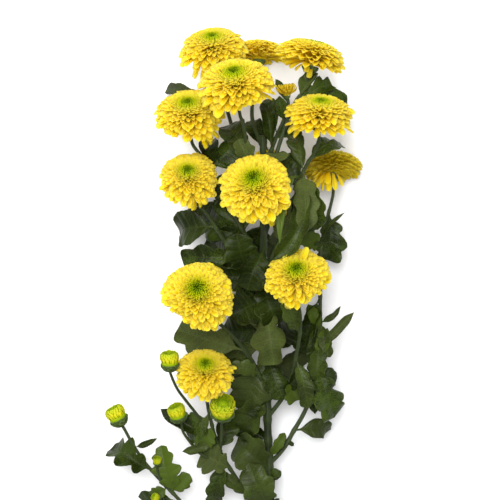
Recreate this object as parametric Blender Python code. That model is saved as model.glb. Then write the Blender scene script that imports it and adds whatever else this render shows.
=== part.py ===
"""A cut stem of spray chrysanthemum, lying on a table with its flower heads towards +Y.

The main stem starts at a plain cut end and carries leafy side shoots. Most shoots end in
one yellow bloom on a green calyx, and the lowest ones carry buds. A bloom is a shell of
stacked, scalloped layers of florets round a green eye of unopened florets.

Places in the tables are in millimetres: X across the stem, Y along it from a point 154 mm
above the cut end, Z up from the table. MM turns them into metres.
"""

import math
import random

import bmesh
import bpy
import numpy as np

MM = 0.001
GAP = 0.3  # clearance between pieces that touch on the real stem
SHIFT = (26.0, -89.1, 0.0)  # brings the middle of the base to the origin
TAU = 2.0 * math.pi

# Stems: radii at the lower and the upper end, and the number of sides
MAIN_RADII = (3.6, 2.2)
SHOOT_RADII = (1.7, 1.15)
TWIG_RADII = (1.25, 1.0)
MAIN_SIDES = 8
SHOOT_SIDES = 5
MAIN_STEP = 27.0  # length of stem between two rings of points
SHOOT_STEP = 17.0

# Leaves: plate thickness, upward fold of each half, forward lean of the lobes
LEAF_THICKNESS = 0.8
LEAF_FOLD = math.radians(16)
LOBE_LEAN = 0.38
LEAF_WAVE = 0.07  # rise and fall of the edge, as a share of the half width
LEAF_WAVES = 1.7  # waves from the root to the tip
WAVE_TURN = 2.4  # shift of the wave from one leaf of a stem to the next, in radians

# Half width of a leaf along its length, as (place on the midrib, share of the half width)
LEAF_OUTLINES = (
    ((0, 0.14), (0.16, 0.16), (0.38, 0.85), (0.66, 0.9), (1, 0)),
    ((0, 0.1), (0.16, 0.12), (0.34, 0.72), (0.52, 1), (0.64, 0.64), (0.8, 0.7), (1, 0)),
    ((0, 0.08), (0.14, 0.09), (0.26, 0.66), (0.36, 0.5), (0.52, 1), (0.64, 0.62), (0.8, 0.74), (1, 0)),
    ((0, 0.06), (0.13, 0.07), (0.22, 0.6), (0.31, 0.48), (0.48, 1), (0.6, 0.64),
     (0.71, 0.84), (0.8, 0.52), (0.91, 0.5), (1, 0)),
)

# Layers of a full bloom, lowest first, in shares of its radius: reach and height of the
# floret tips, reach and height of the groove above them, florets round it, corners a floret
BLOOM_LAYERS = (
    (0.97, -0.12, 0.66, 0.01, 15, 3),
    (1.00, 0.08, 0.66, 0.16, 15, 3),
    (0.92, 0.30, 0.57, 0.32, 13, 3),
    (0.76, 0.49, 0.43, 0.48, 10, 3),
    (0.54, 0.62, 0.31, 0.58, 7, 2),
)
# A half-open bloom stands up like a cup
CUP_LAYERS = (
    (0.80, 0.30, 0.46, 0.34, 10, 3),
    (0.84, 0.62, 0.50, 0.62, 9, 3),
    (0.66, 0.90, 0.31, 0.72, 7, 2),
)
SEAT_REACH = 0.20  # flat underside that sits on the calyx
SEAT_HEIGHT = -0.06
SEAT_SIDES = 8
NOTCH = 0.76  # reach of the gap between two floret tips, as a share of the tips' reach
FLORET_LENGTHS = (0.94, 1.03)  # shortest and longest floret of a layer
FLORET_LIFT = 0.025  # how far a tip stands above or below its layer

# The well that holds the eye, and the eye itself: its own rings are narrower than the well
WELL_NARROWING = 0.86
WELL_DROP = 0.07
EYE_MARGIN = 2.5 * GAP
EYE_FOOT, EYE_FOOT_SIDES = 0.96, 6
EYE_TOP, EYE_SIDES = 0.55, 8
EYE_RISE = 0.09
EYE_ZIGZAG = 0.03

# The calyx below a bloom and the cup of bracts round a bud, as (reach, height)
CALYX_PROFILE = ((0.05, -0.36), (0.20, -0.23), (0.27, -0.14), (0.19, SEAT_HEIGHT))
BUD_CUP_PROFILE = ((0.16, -1.25), (0.62, -0.92), (0.95, -0.45), (1.0, 0.0))
BUD_HEAD_PROFILE = ((0.93, 0.0), (0.99, 0.32), (0.78, 0.72), (0.35, 0.88))
CUP_SIDES = 7
HEAD_SIDES = 8
HEAD_RIDGE = 0.09  # how far every other side of a bud head is drawn in

# A stalk meets its cup this far under the flower's middle, and runs straight for the length
CALYX_DEPTH = 0.25
BUD_DEPTH = 0.9
NECK_LENGTH = 0.55

# Route of each stem, from its root inside the stem that carries it
MAIN_ROUTE = ((3, -154, 3.3), (3, -79, 12), (2, -6, 20), (0, 53, 27), (0, 96, 33), (-3, 146, 40),
              (-3, 196, 46), (-3, 235, 50), (-4, 256, 53))
SHOOT_ROUTES = {
    "shoot_01": ((-3, 193, 46), (-18, 236, 42), (-29, 275, 40)),
    "shoot_02": ((-3, 246, 52), (-10, 264, 42), (-11, 279, 30)),
    "shoot_03": ((-3, 207, 47), (7, 246, 46), (19, 279, 46)),
    "shoot_04": ((-3, 200, 47), (-13, 235, 60), (-17, 262, 72)),
    "shoot_05": ((-3, 166, 43), (-25, 201, 46), (-44, 237, 50)),
    "shoot_06": ((-3, 157, 42), (14, 195, 50), (25, 230, 58)),
    "shoot_07": ((-3, 228, 50), (5, 253, 42), (12, 269, 38)),
    "shoot_08": ((-3, 146, 40), (-28, 178, 48), (-45, 203, 58)),
    "shoot_09": ((-3, 162, 42), (-2, 181, 60), (-5, 199, 76)),
    "shoot_10": ((1, 22, 23), (19, 44, 26), (30, 67, 28), (37, 107, 29), (38, 146, 29), (39, 180, 29)),
    "shoot_11": ((0, 73, 30), (-15, 102, 46), (-35, 124, 62)),
    "shoot_12": ((0, 54, 27), (14, 75, 34), (21, 104, 46), (23, 124, 58)),
    "shoot_13": ((2, -28, 17), (-15, -1, 24), (-30, 23, 32), (-37, 39, 38), (-42, 61, 46)),
    "shoot_14": ((3, -78, 12), (-29, -45, 17), (-52, -19, 22), (-64, -5, 24), (-89, 23, 28)),
    "shoot_15": ((-3, 182, 45), (2, 202, 40)),
}
# Twigs branch from a shoot and are one piece with it
TWIG_ROUTES = {
    "shoot_13": {
        "bud_01": ((-35, 33, 36), (-40, 41, 40), (-50, 57, 46), (-61, 69, 52), (-69, 78, 57)),
        "bud_02": ((-30, 21, 32), (-46, 28, 37), (-53, 35, 40), (-60, 45, 44)),
        "bud_03": ((-34, 32, 36), (-33, 41, 46)),
    },
    "shoot_14": {
        "bud_05": ((-73, 4, 26), (-77, 11, 30), (-79, 17, 34)),
        "bud_06": ((-59, -11, 23), (-72, -7, 27)),
    },
}

# Blooms: the shoot that carries each, middle of the rim, radius, and where the face looks
BLOOMS = {
    "bloom_01": ("shoot_01", (-40, 313, 42), 23.5, (-0.05, 0.84, 0.54)),
    "bloom_02": ("shoot_02", (-7, 312, 16.7), 19.0, (0.05, 1.0, -0.12)),
    "bloom_03": ("shoot_03", (30, 306, 46), 24.5, (0.24, 0.96, 0.13)),
    "bloom_04": ("shoot_04", (-22, 285, 86), 27.0, (-0.12, 0.77, 0.63)),
    "bloom_05": ("shoot_05", (-55, 266, 62), 25.5, (-0.08, 0.78, 0.62)),
    "bloom_06": ("shoot_06", (36, 265, 74), 24.5, (0.06, 0.9, 0.43)),
    "bloom_07": ("shoot_07", (14, 286, 38), 9.0, (-0.1, 0.95, 0.1)),
    "bloom_08": ("shoot_08", (-56, 222, 72), 21.0, (0.0, 0.66, 0.75)),
    "bloom_09": ("shoot_09", (-8, 216, 92), 26.0, (-0.15, 0.52, 0.84)),
    "bloom_10": ("shoot_10", (46, 231, 19.2), 21.0, (-0.08, 0.93, -0.34)),
    "bloom_11": ("shoot_11", (-49, 142, 82), 25.5, (0.0, 0.42, 0.9)),
    "bloom_12": ("shoot_12", (20, 153, 80), 24.0, (-0.05, 0.62, 0.78)),
    "bloom_13": ("shoot_13", (-44, 86, 60), 21.5, (0.0, 0.7, 0.7)),
    "bloom_14": ("shoot_15", (2, 232, 20), 17.0, (0.25, 0.6, -0.75)),
}
HALF_OPEN = ("bloom_07",)

# Buds: the shoot that carries each, middle of the cup's rim, radius, and where it looks
BUDS = {
    "bud_01": ("shoot_13", (-69, 97, 66), 6.4, (-0.05, 0.95, 0.3)),
    "bud_02": ("shoot_13", (-64, 59, 49), 6.2, (-0.3, 0.85, 0.4)),
    "bud_03": ("shoot_13", (-32, 62, 64), 9.5, (0.05, 0.6, 0.8)),
    "bud_04": ("shoot_14", (-106, 54, 33), 6.8, (-0.45, 0.85, 0.2)),
    "bud_05": ("shoot_14", (-79, 24, 38), 3.0, (0.0, 0.8, 0.55)),
    "bud_06": ("shoot_14", (-80, -3, 32), 3.0, (-0.6, 0.5, 0.5)),
}

# Leaves of each stem: root, tip, width, where the upper side looks, arch, and outline
LEAVES = {
    "main_stem": (
        ((-3, 139, 39), (-27, 128, 56), 30, (0, 0.1, 0.95), 0.12, 2),
        ((-3, 152, 41), (8, 121, 50), 24, (0, 0.1, 0.95), 0.12, 2),
        ((-1, 103, 34), (-53, 98, 18), 24, (0, -0.1, 0.98), 0.05, 2),
        ((-2, 134, 38), (2, 92, 52), 34, (0, 0.2, 0.95), 0.15, 1),
        ((-3, 176, 44), (-9, 129, 18), 28, (0, 0.2, 0.95), 0.05, 2),
        ((1, 16, 22), (-25, 39, 26), 28, (0, 0.2, 0.95), 0.15, 2),
        ((2, -10, 19), (-15, 22, 40), 24, (-0.2, 0.1, 0.95), 0.15, 2),
        ((2, -28, 17), (37, -16, 8), 26, (0.1, 0.1, 0.98), 0.15, 3),
        ((3, -50, 14), (-33, -74, 2), 26, (-0.1, 0.1, 0.98), 0.18, 3),
        ((3, -72, 12), (36, -63, 4), 24, (0.1, 0.1, 0.98), 0.15, 3),
        ((-2, 125, 37), (-23, 81, 3), 26, (-0.4, -0.2, -0.9), 0.15, 1),
        ((-3, 182, 44), (24, 166, 4), 26, (0.3, 0, -0.9), 0.15, 1),
        ((0, 89, 32), (27, 100, 4), 24, (0.3, -0.1, -0.9), 0.15, 1),
        ((-1, 118, 36), (-32, 117, 20), 24, (0, 0, 1), 0.08, 0),
        ((0, 104, 34), (22, 123, 18), 26, (0, 0, 1), 0.08, 0),
        ((-3, 162, 42), (-45, 183, 14), 26, (0, 0, 1), 0.06, 0),
    ),
    "shoot_01": (
        ((-30, 279, 40), (-74, 293, -1.2), 12, (-0.3, 0.2, 0.9), 0.16, 1),
    ),
    "shoot_03": (
        ((25, 290, 46), (58, 278, 34), 21, (0.1, 0.3, 0.95), 0.16, 0),
    ),
    "shoot_04": (
        ((-11, 233, 58), (15, 241, 72), 13, (-0.1, 0.3, 0.9), 0.15, 1),
        ((-12, 234, 60), (-19, 259, 66), 17, (0.3, -0.3, 0.9), 0.12, 1),
    ),
    "shoot_05": (
        ((-15, 184, 45), (-29, 222, 30), 28, (0, -0.1, 0.98), 0.1, 2),
        ((-10, 177, 44), (-48, 204, 28), 30, (0, -0.1, 0.98), 0.08, 2),
        ((-38, 226, 49), (-45, 257, 34), 24, (0, 0.3, 0.9), 0.1, 2),
        ((-41, 232, 50), (-17, 255, 52), 26, (0, 0, 1), 0.05, 2),
        ((-20, 191, 45), (-37, 180, 26), 22, (0, 0.1, 0.95), 0.1, 2),
        ((-30, 208, 47), (-56, 191, 3), 24, (-0.4, -0.2, -0.8), 0.15, 3),
        ((-27, 204, 46), (-29, 229, 60), 20, (0, -0.2, 0.95), 0.1, 1),
    ),
    "shoot_06": (
        ((23, 224, 57), (47, 256, 52), 14, (-0.1, 0.3, 0.9), 0.15, 1),
        ((21, 216, 55), (58, 252, 50), 11, (-0.2, 0.2, 0.9), 0.15, 1),
        ((21, 217, 55), (10, 245, 48), 24, (0, 0, 1), 0.1, 2),
        ((22, 214, 56), (12, 180, 66), 18, (-0.8, 0, 0.6), 0.15, 1),
        ((25, 229, 58), (17, 170, 91), 21, (0.5, 0.1, 0.85), 0.14, 1),
        ((5, 178, 46), (13, 146, 52), 22, (0, 0.2, 0.95), 0.1, 1),
        ((23, 223, 56), (27, 186, 44), 23, (0.1, 0.1, 0.98), 0.12, 0),
    ),
    "shoot_07": (
        ((13, 275, 39), (6, 298, 50), 7, (0.2, 0.2, 0.95), 0.12, 0),
        ((3, 246, 44), (-3, 283, 46), 14, (0, -0.3, 0.95), 0.1, 0),
        ((5, 253, 42), (24, 270, 26), 17, (0.2, 0.3, 0.9), 0.12, 0),
    ),
    "shoot_08": (
        ((-35, 189, 52), (-64, 190, 36), 28, (-0.3, 0.2, 0.9), 0.18, 2),
        ((-21, 168, 46), (-53, 169, 38), 24, (0, 0.2, 0.95), 0.12, 2),
        ((-10, 155, 43), (-46, 157, 28), 32, (0, 0.1, 0.95), 0.12, 2),
        ((-14, 162, 44), (-22, 186, 66), 24, (0, -0.3, 0.95), 0.1, 2),
    ),
    "shoot_09": (
        ((-3, 176, 56), (-15, 146, 60), 26, (0, 0.2, 0.95), 0.12, 2),
    ),
    "shoot_10": (
        ((41, 204, 32), (43, 166, 24), 25, (0.2, 0, 0.95), 0.12, 1),
        ((39, 184, 30), (55, 202, 40), 4, (-0.3, 0.2, 0.9), 0.12, 0),
        ((38, 113, 29), (52, 133, 36), 5, (0, -0.2, 0.95), 0.1, 0),
        ((37, 104, 29), (61, 130, 34), 6, (0, 0.2, 0.95), 0.12, 0),
        ((36, 97, 29), (43, 119, 31), 12, (0, 0.2, 0.95), 0.12, 0),
        ((32, 88, 28), (51, 58, 32), 25, (0.1, 0.1, 0.98), 0.2, 1),
        ((21, 48, 26), (46, 44, 14), 14, (0.1, 0.3, 0.9), 0.15, 0),
    ),
    "shoot_11": (
        ((-7, 87, 38), (-67, 122, 34), 30, (0, 0.1, 0.98), 0.02, 3),
        ((-6, 85, 37), (-27, 92, 50), 14, (0, 0.3, 0.9), 0.12, 1),
    ),
    "shoot_12": (
        ((20, 98, 43), (29, 61, 40), 15, (0, 0, 1), 0.1, 1),
        ((22, 116, 53), (13, 143, 66), 14, (0, -0.2, 0.95), 0.12, 1),
        ((13, 72, 33), (25, 91, 40), 12, (0, -0.2, 0.95), 0.12, 1),
    ),
    "shoot_13": (
        ((-27, 18, 31), (-49, 30, 36), 24, (-0.1, 0.2, 0.95), 0.15, 1),
        ((-14, -3, 23), (-36, 13, 28), 18, (0, 0.2, 0.95), 0.15, 1),
        ((-52, 58, 46), (-49, 41, 40), 9, (0, 0, 1), 0.1, 0),
    ),
    "shoot_14": (
        ((-83, 14, 27), (-115.5, 35, 20), 24, (0, 0.2, 0.95), 0.15, 3),
        ((-92, 26, 29), (-78, 40, 34), 7, (0, 0.2, 0.95), 0.1, 0),
        ((-66, -6, 24), (-72, 34, 32), 22, (-0.1, 0, 0.98), 0.12, 3),
        ((-52, -19, 22), (-97, -5, 16), 14, (0, 0.2, 0.95), 0.15, 2),
    ),
}

COLOURS = {
    "leaf_green": ((0.06, 0.12, 0.035, 1.0), 0.55),
    "petal_yellow": ((0.9, 0.68, 0.03, 1.0), 0.6),
    "eye_green": ((0.42, 0.55, 0.04, 1.0), 0.6),
    "bud_green": ((0.6, 0.62, 0.06, 1.0), 0.6),
}


def clear_scene():
    for item in list(bpy.data.objects):
        bpy.data.objects.remove(item, do_unlink=True)


def make_material(name):
    colour, roughness = COLOURS[name]
    material = bpy.data.materials.new(name)
    material.use_nodes = True
    shader = material.node_tree.nodes["Principled BSDF"]
    shader.inputs["Base Color"].default_value = colour
    shader.inputs["Roughness"].default_value = roughness
    shader.inputs["Metallic"].default_value = 0.0
    return material


def unit(vector):
    vector = np.asarray(vector, dtype=float)
    return vector / np.linalg.norm(vector)


def add_object(name, points, faces, material=None):
    """Closed mesh from points in table millimetres, with its faces turned outwards."""
    mesh = bpy.data.meshes.new(name)
    placed = (np.asarray(points, dtype=float) + np.asarray(SHIFT)) * MM
    mesh.from_pydata(placed.tolist(), [], faces)
    work = bmesh.new()
    work.from_mesh(mesh)
    bmesh.ops.recalc_face_normals(work, faces=work.faces)
    work.to_mesh(mesh)
    work.free()
    if material is not None:
        mesh.materials.append(material)
    item = bpy.data.objects.new(name, mesh)
    bpy.context.scene.collection.objects.link(item)
    return item


def smooth_route(points, step):
    """Catmull-Rom curve through the points, with about one sample every step millimetres."""
    points = np.asarray(points, dtype=float)
    padded = np.vstack((2 * points[0] - points[1], points, 2 * points[-1] - points[-2]))
    samples = []
    for i in range(len(points) - 1):
        p0, p1, p2, p3 = padded[i:i + 4]
        count = max(1, round(np.linalg.norm(p2 - p1) / step))
        for t in np.arange(count) / count:
            samples.append(0.5 * (2 * p1 + (p2 - p0) * t + (2 * p0 - 5 * p1 + 4 * p2 - p3) * t ** 2
                                  + (3 * p1 - p0 - 3 * p2 + p3) * t ** 3))
    samples.append(points[-1])
    return np.array(samples)


def tube(route, radii, sides):
    """Round stem along a route, tapering evenly from the first radius to the second."""
    tangents = np.gradient(route, axis=0)
    side = unit(np.cross(tangents[0], (0.0, 0.0, 1.0)))
    spacing = np.linalg.norm(np.diff(route, axis=0), axis=1)
    share = np.concatenate(([0.0], np.cumsum(spacing))) / spacing.sum()
    points = []
    for centre, tangent, part in zip(route, tangents, share):
        tangent = unit(tangent)
        side = unit(side - tangent * side.dot(tangent))
        across = np.cross(tangent, side)
        radius = radii[0] + (radii[1] - radii[0]) * part
        for k in range(sides):
            angle = TAU * k / sides
            points.append(centre + radius * (math.cos(angle) * side + math.sin(angle) * across))
    faces = [tuple(range(sides)), tuple(range(len(points) - sides, len(points)))]
    for ring in range(len(route) - 1):
        for k in range(sides):
            a = ring * sides + k
            b = ring * sides + (k + 1) % sides
            faces.append((a, b, b + sides, a + sides))
    return points, faces


def leaf(root, tip, width, face, arch, outline, phase):
    """Lobed plate along an arched midrib, folded up along it, split alike on both sides."""
    root = np.asarray(root, dtype=float)
    tip = np.asarray(tip, dtype=float)
    chord = unit(tip - root)
    face = unit(np.asarray(face, dtype=float) - chord * chord.dot(face))
    crown = (root + tip) / 2 + face * arch * 2 * np.linalg.norm(tip - root)
    rows = []
    for place, share in LEAF_OUTLINES[outline]:
        rib = (1 - place) ** 2 * root + 2 * place * (1 - place) * crown + place ** 2 * tip
        along = unit((1 - place) * (crown - root) + place * (tip - crown))
        normal = unit(face - along * along.dot(face))
        across = np.cross(along, normal)
        reach = share * width / 2
        row = [rib]
        for sign in (-1, 1):
            wave = LEAF_WAVE * math.sin(TAU * LEAF_WAVES * place + phase + sign)
            edge = across * sign * math.cos(LEAF_FOLD) + normal * (math.sin(LEAF_FOLD) + wave)
            row.append(rib + reach * (edge + LOBE_LEAN * along))
        rows.append((row, normal * LEAF_THICKNESS / 2))
    points = []
    for row, half in rows[:-1]:
        points += [point + half for point in row] + [point - half for point in row]
    end = len(points)
    points += [tip + rows[-1][1], tip - rows[-1][1]]
    faces = [(0, 1, 4, 3), (0, 3, 5, 2)]
    for i in range(len(rows) - 1):
        rib, left, right = 6 * i, 6 * i + 1, 6 * i + 2
        last = i == len(rows) - 2
        for edge in (left, right):
            next_edge = end if last else edge + 6
            next_rib = end if last else rib + 6
            below = 1 if last else 3
            faces.append((rib, edge, next_edge))
            faces.append((rib + 3, edge + 3, next_edge + below))
            if not last:
                faces.append((rib, next_edge, next_rib))
                faces.append((rib + 3, next_edge + 3, next_rib + 3))
            faces.append((edge, edge + 3, next_edge + below))
            faces.append((edge, next_edge + below, next_edge))
    return points, faces


def axis_frame(middle, axis):
    """Function that carries (x, y, z) about a flower's own axis to its place on the stem."""
    axis = unit(axis)
    first = unit(np.cross(axis, (0.31, 0.2, 0.93)))
    second = np.cross(axis, first)
    middle = np.asarray(middle, dtype=float)

    def place(x, y, z):
        return middle + first * x + second * y + axis * z

    return place


def ring_points(reach, height, corners, turn=0.0):
    """Even ring as a list of (angle, reach, height)."""
    return [(turn + TAU * k / corners, reach, height) for k in range(corners)]


def turned_shell(rings, place):
    """Closed shell over a stack of rings, which may have different numbers of points."""
    points = []
    loops = []
    for ring in rings:
        loop = []
        for angle, reach, height in ring:
            loop.append((angle, len(points)))
            points.append(place(reach * math.cos(angle), reach * math.sin(angle), height))
        loops.append(loop)
    faces = [tuple(index for _, index in loops[0]), tuple(index for _, index in loops[-1])]
    for lower, upper in zip(loops, loops[1:]):
        i = j = 0
        while i < len(lower) or j < len(upper):
            turn_i, turn_j = divmod(i + 1, len(lower)), divmod(j + 1, len(upper))
            next_i = lower[turn_i[1]][0] + TAU * turn_i[0]
            next_j = upper[turn_j[1]][0] + TAU * turn_j[0]
            a, b = lower[i % len(lower)][1], upper[j % len(upper)][1]
            if j == len(upper) or (i < len(lower) and next_i <= next_j):
                faces.append((a, lower[turn_i[1]][1], b))
                i += 1
            else:
                faces.append((a, upper[turn_j[1]][1], b))
                j += 1
    return points, faces


def floret_ring(reach, height, groove, florets, corners, turn, draw):
    """Ring of floret tips: a gap, then one or two corners at each floret's own length."""
    ring = []
    for k in range(florets):
        start = turn + TAU * k / florets
        length = reach * draw.uniform(*FLORET_LENGTHS)
        lift = height + draw.uniform(-FLORET_LIFT, FLORET_LIFT)
        ring.append((start, reach * NOTCH, (height + groove) / 2))
        for corner in range(1, corners):
            ring.append((start + TAU / florets * corner / corners, length, lift))
    return ring


def bloom(middle, radius, axis, layers, seed):
    """Stack of scalloped layers, each with a groove above it, and a well for the eye."""
    draw = random.Random(seed)
    rings = [ring_points(SEAT_REACH, SEAT_HEIGHT, SEAT_SIDES)]
    for k, (reach, height, groove, groove_height, florets, corners) in enumerate(layers):
        turn = TAU / florets / 2 * (k % 2)
        rings.append(floret_ring(reach, height, groove_height, florets, corners, turn, draw))
        rings.append(ring_points(groove, groove_height, florets, turn))
    well_reach, well_height = layers[-1][2], layers[-1][3]
    rings.append(ring_points(well_reach * WELL_NARROWING, well_height - WELL_DROP, EYE_SIDES))
    scaled = [[(a, r * radius, h * radius) for a, r, h in ring] for ring in rings]
    return turned_shell(scaled, axis_frame(middle, axis))


def eye(middle, radius, axis, layers):
    """Low knob of unopened florets, raised in a zigzag, that fills the bloom's well."""
    well_reach, well_height = layers[-1][2], layers[-1][3]
    floor = (well_height - WELL_DROP) * radius + GAP
    reach = well_reach * WELL_NARROWING * radius - EYE_MARGIN
    rim = ring_points(reach, well_height * radius, EYE_SIDES)
    top = ring_points(reach * EYE_TOP, (well_height + EYE_RISE) * radius, EYE_SIDES)
    step = EYE_ZIGZAG * radius
    rings = [
        ring_points(reach * EYE_FOOT, floor, EYE_FOOT_SIDES),
        [(a, r, h + step * (k % 2)) for k, (a, r, h) in enumerate(rim)],
        [(a, r, h - step * (k % 2)) for k, (a, r, h) in enumerate(top)],
    ]
    return turned_shell(rings, axis_frame(middle, axis))


def green_cup(middle, radius, axis, profile):
    """Calyx of a bloom or cup of a bud, its flat top just clear of what sits on it."""
    rings = [ring_points(r * radius, h * radius - GAP, CUP_SIDES) for r, h in profile]
    return turned_shell(rings, axis_frame(middle, axis))


def bud_head(middle, radius, axis):
    """Closed florets of a bud, as a dome with a shallow dimple and ridges round it."""
    rings = []
    for row, (reach, height) in enumerate(BUD_HEAD_PROFILE):
        ring = []
        for k, (angle, r, h) in enumerate(ring_points(reach * radius, height * radius, HEAD_SIDES)):
            ridge = 1.0 if row == 0 else 1.0 - HEAD_RIDGE * (k % 2)
            ring.append((angle, r * ridge, h))
        rings.append(ring)
    return turned_shell(rings, axis_frame(middle, axis))


def neck(middle, radius, axis, depth):
    """Last two points of a flower's stalk, which bring it in along the flower's axis."""
    place = axis_frame(middle, axis)
    return [place(0, 0, -(depth + NECK_LENGTH) * radius), place(0, 0, -depth * radius)]


def nearest(route, point):
    """Point of a route closest to a place, where a leaf is rooted."""
    fine = smooth_route(route, 1.0)
    return fine[np.argmin(np.linalg.norm(fine - np.asarray(point, dtype=float), axis=1))]


def evaluate(item):
    """Applies an object's modifiers to its mesh."""
    graph = bpy.context.evaluated_depsgraph_get()
    mesh = bpy.data.meshes.new_from_object(item.evaluated_get(graph))
    item.modifiers.clear()
    item.data = mesh


def join_shapes(name, shapes, material, cutters=()):
    """One body from overlapping closed shapes, less the cutters."""
    item = add_object(name, *shapes[0], material)
    if len(shapes) > 1:
        group = bpy.data.collections.new(name + "_pieces")
        for k, shape in enumerate(shapes[1:]):
            extra = add_object(f"{name}_piece_{k}", *shape)
            group.objects.link(extra)
        union = item.modifiers.new("join", "BOOLEAN")
        union.operation = "UNION"
        union.operand_type = "COLLECTION"
        union.collection = group
        union.solver = "EXACT"
        evaluate(item)
        for extra in list(group.objects):
            bpy.data.objects.remove(extra, do_unlink=True)
        bpy.data.collections.remove(group)
    for cutter in cutters:
        cut_away(item, cutter)
    return item


def cut_away(item, shape):
    """Takes a closed shape out of an object."""
    cutter = add_object("cutter", *shape)
    cut = item.modifiers.new("cut", "BOOLEAN")
    cut.operation = "DIFFERENCE"
    cut.object = cutter
    cut.solver = "EXACT"
    evaluate(item)
    bpy.data.objects.remove(cutter, do_unlink=True)


def table_slab():
    """Everything under the table's surface, for the flat spots that the stem rests on."""
    x, y, depth = 250.0, 400.0, 80.0
    points = [(sx * x, sy * y, z) for z in (-depth, 0.0) for sx, sy in
              ((-1, -1), (1, -1), (1, 1), (-1, 1))]
    faces = [(0, 1, 2, 3), (4, 5, 6, 7), (0, 1, 5, 4), (1, 2, 6, 5), (2, 3, 7, 6), (3, 0, 4, 7)]
    return points, faces


def reaches_table(item):
    return min(vertex.co.z for vertex in item.data.vertices) < 0.0


def stem_leaves(name, route):
    """Leaf plates of one stem, each rooted on the stem's middle line."""
    shapes = []
    for k, (root, tip, width, face, arch, outline) in enumerate(LEAVES.get(name, ())):
        shapes.append(leaf(nearest(route, root), tip, width, face, arch, outline, phase=WAVE_TURN * k))
    return shapes


def make_main_stem(material):
    route = smooth_route(MAIN_ROUTE, MAIN_STEP)
    shapes = [tube(route, MAIN_RADII, MAIN_SIDES)] + stem_leaves("main_stem", MAIN_ROUTE)
    return join_shapes("main_stem", shapes, material)


def make_shoot(name, material):
    """A side shoot with its twigs, leaves, calyces and bud cups, cut clear of the main stem."""
    twigs = TWIG_ROUTES.get(name, {})
    points = list(SHOOT_ROUTES[name])
    shapes = []
    cups = []
    for host, middle, radius, axis in BLOOMS.values():
        if host == name:
            points += neck(middle, radius, axis, CALYX_DEPTH)
            cups.append(green_cup(middle, radius, axis, CALYX_PROFILE))
    for key, (host, middle, radius, axis) in BUDS.items():
        if host != name:
            continue
        stalk = neck(middle, radius, axis, BUD_DEPTH)
        if key in twigs:
            route = smooth_route(list(twigs[key]) + stalk, SHOOT_STEP)
            shapes.append(tube(route, TWIG_RADII, SHOOT_SIDES))
        else:
            points += stalk
        cups.append(green_cup(middle, radius, axis, BUD_CUP_PROFILE))
    shapes.insert(0, tube(smooth_route(points, SHOOT_STEP), SHOOT_RADII, SHOOT_SIDES))
    shapes += cups + stem_leaves(name, points)
    wider = tuple(radius + GAP for radius in MAIN_RADII)
    clearance = tube(smooth_route(MAIN_ROUTE, MAIN_STEP), wider, MAIN_SIDES)
    return join_shapes(name, shapes, material, cutters=(clearance,))


def make_blooms(petal_material, eye_material):
    items = []
    for seed, (name, (_, middle, radius, axis)) in enumerate(BLOOMS.items()):
        layers = CUP_LAYERS if name in HALF_OPEN else BLOOM_LAYERS
        items.append(add_object(name, *bloom(middle, radius, axis, layers, seed), petal_material))
        eye_name = name.replace("bloom", "eye")
        items.append(add_object(eye_name, *eye(middle, radius, axis, layers), eye_material))
    return items


def make_buds(material):
    return [add_object(name, *bud_head(middle, radius, axis), material)
            for name, (_, middle, radius, axis) in BUDS.items()]


def main():
    clear_scene()
    leaf_green = make_material("leaf_green")
    items = [make_main_stem(leaf_green)]
    items += [make_shoot(name, leaf_green) for name in SHOOT_ROUTES]
    items += make_blooms(make_material("petal_yellow"), make_material("eye_green"))
    items += make_buds(make_material("bud_green"))
    for item in items:
        if reaches_table(item):
            cut_away(item, table_slab())


main()
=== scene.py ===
"""Looks of a cut stem of spray chrysanthemum that lies on a table.

Every bloom is a spiral of scooped florets round a green eye, every leaf a lobed, veined
blade, and every stem a ridged stalk with swollen nodes. Places in the tables are in
millimetres from the same point as in the part's source, and place_mm brings them into the
row frame. The florets, blades and stalks are all closed skins: stacks of rings of points.
"""

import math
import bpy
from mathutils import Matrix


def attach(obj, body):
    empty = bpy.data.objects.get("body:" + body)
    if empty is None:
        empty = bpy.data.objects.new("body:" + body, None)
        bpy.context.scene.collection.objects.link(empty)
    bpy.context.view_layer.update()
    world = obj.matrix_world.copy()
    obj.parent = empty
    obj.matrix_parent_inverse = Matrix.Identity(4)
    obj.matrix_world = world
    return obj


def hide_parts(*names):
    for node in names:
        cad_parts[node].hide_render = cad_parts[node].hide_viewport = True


bl_info = {
    "name": "Cut Chrysanthemum Stem",
    "version": (1, 0, 0),
    "blender": (4, 5, 0),
    "location": "View3D > Sidebar > Chrysanthemum",
    "description": "Builds the blooms, buds, leaves and stalks of a cut spray chrysanthemum",
    "category": "Add Mesh",
}

import bpy
import numpy as np

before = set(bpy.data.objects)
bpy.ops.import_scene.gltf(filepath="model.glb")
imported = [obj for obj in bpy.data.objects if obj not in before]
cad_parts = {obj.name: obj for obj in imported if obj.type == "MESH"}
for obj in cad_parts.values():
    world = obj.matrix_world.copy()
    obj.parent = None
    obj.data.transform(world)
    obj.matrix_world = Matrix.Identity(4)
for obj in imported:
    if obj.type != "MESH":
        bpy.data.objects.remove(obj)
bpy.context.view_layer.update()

MM = 0.001
SHIFT = np.array((26.0, -89.1, 0.0))
TAU = 2.0 * math.pi
GOLDEN_TURN = math.pi * (3.0 - math.sqrt(5.0))

# Random seed of the first flower, cup or stalk of each kind
SEEDS = {"bloom": 40, "eye": 90, "bud": 140, "nub": 150, "stem": 200, "shoot": 220, "calyx": 300,
         "bud_cup": 330}

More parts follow.
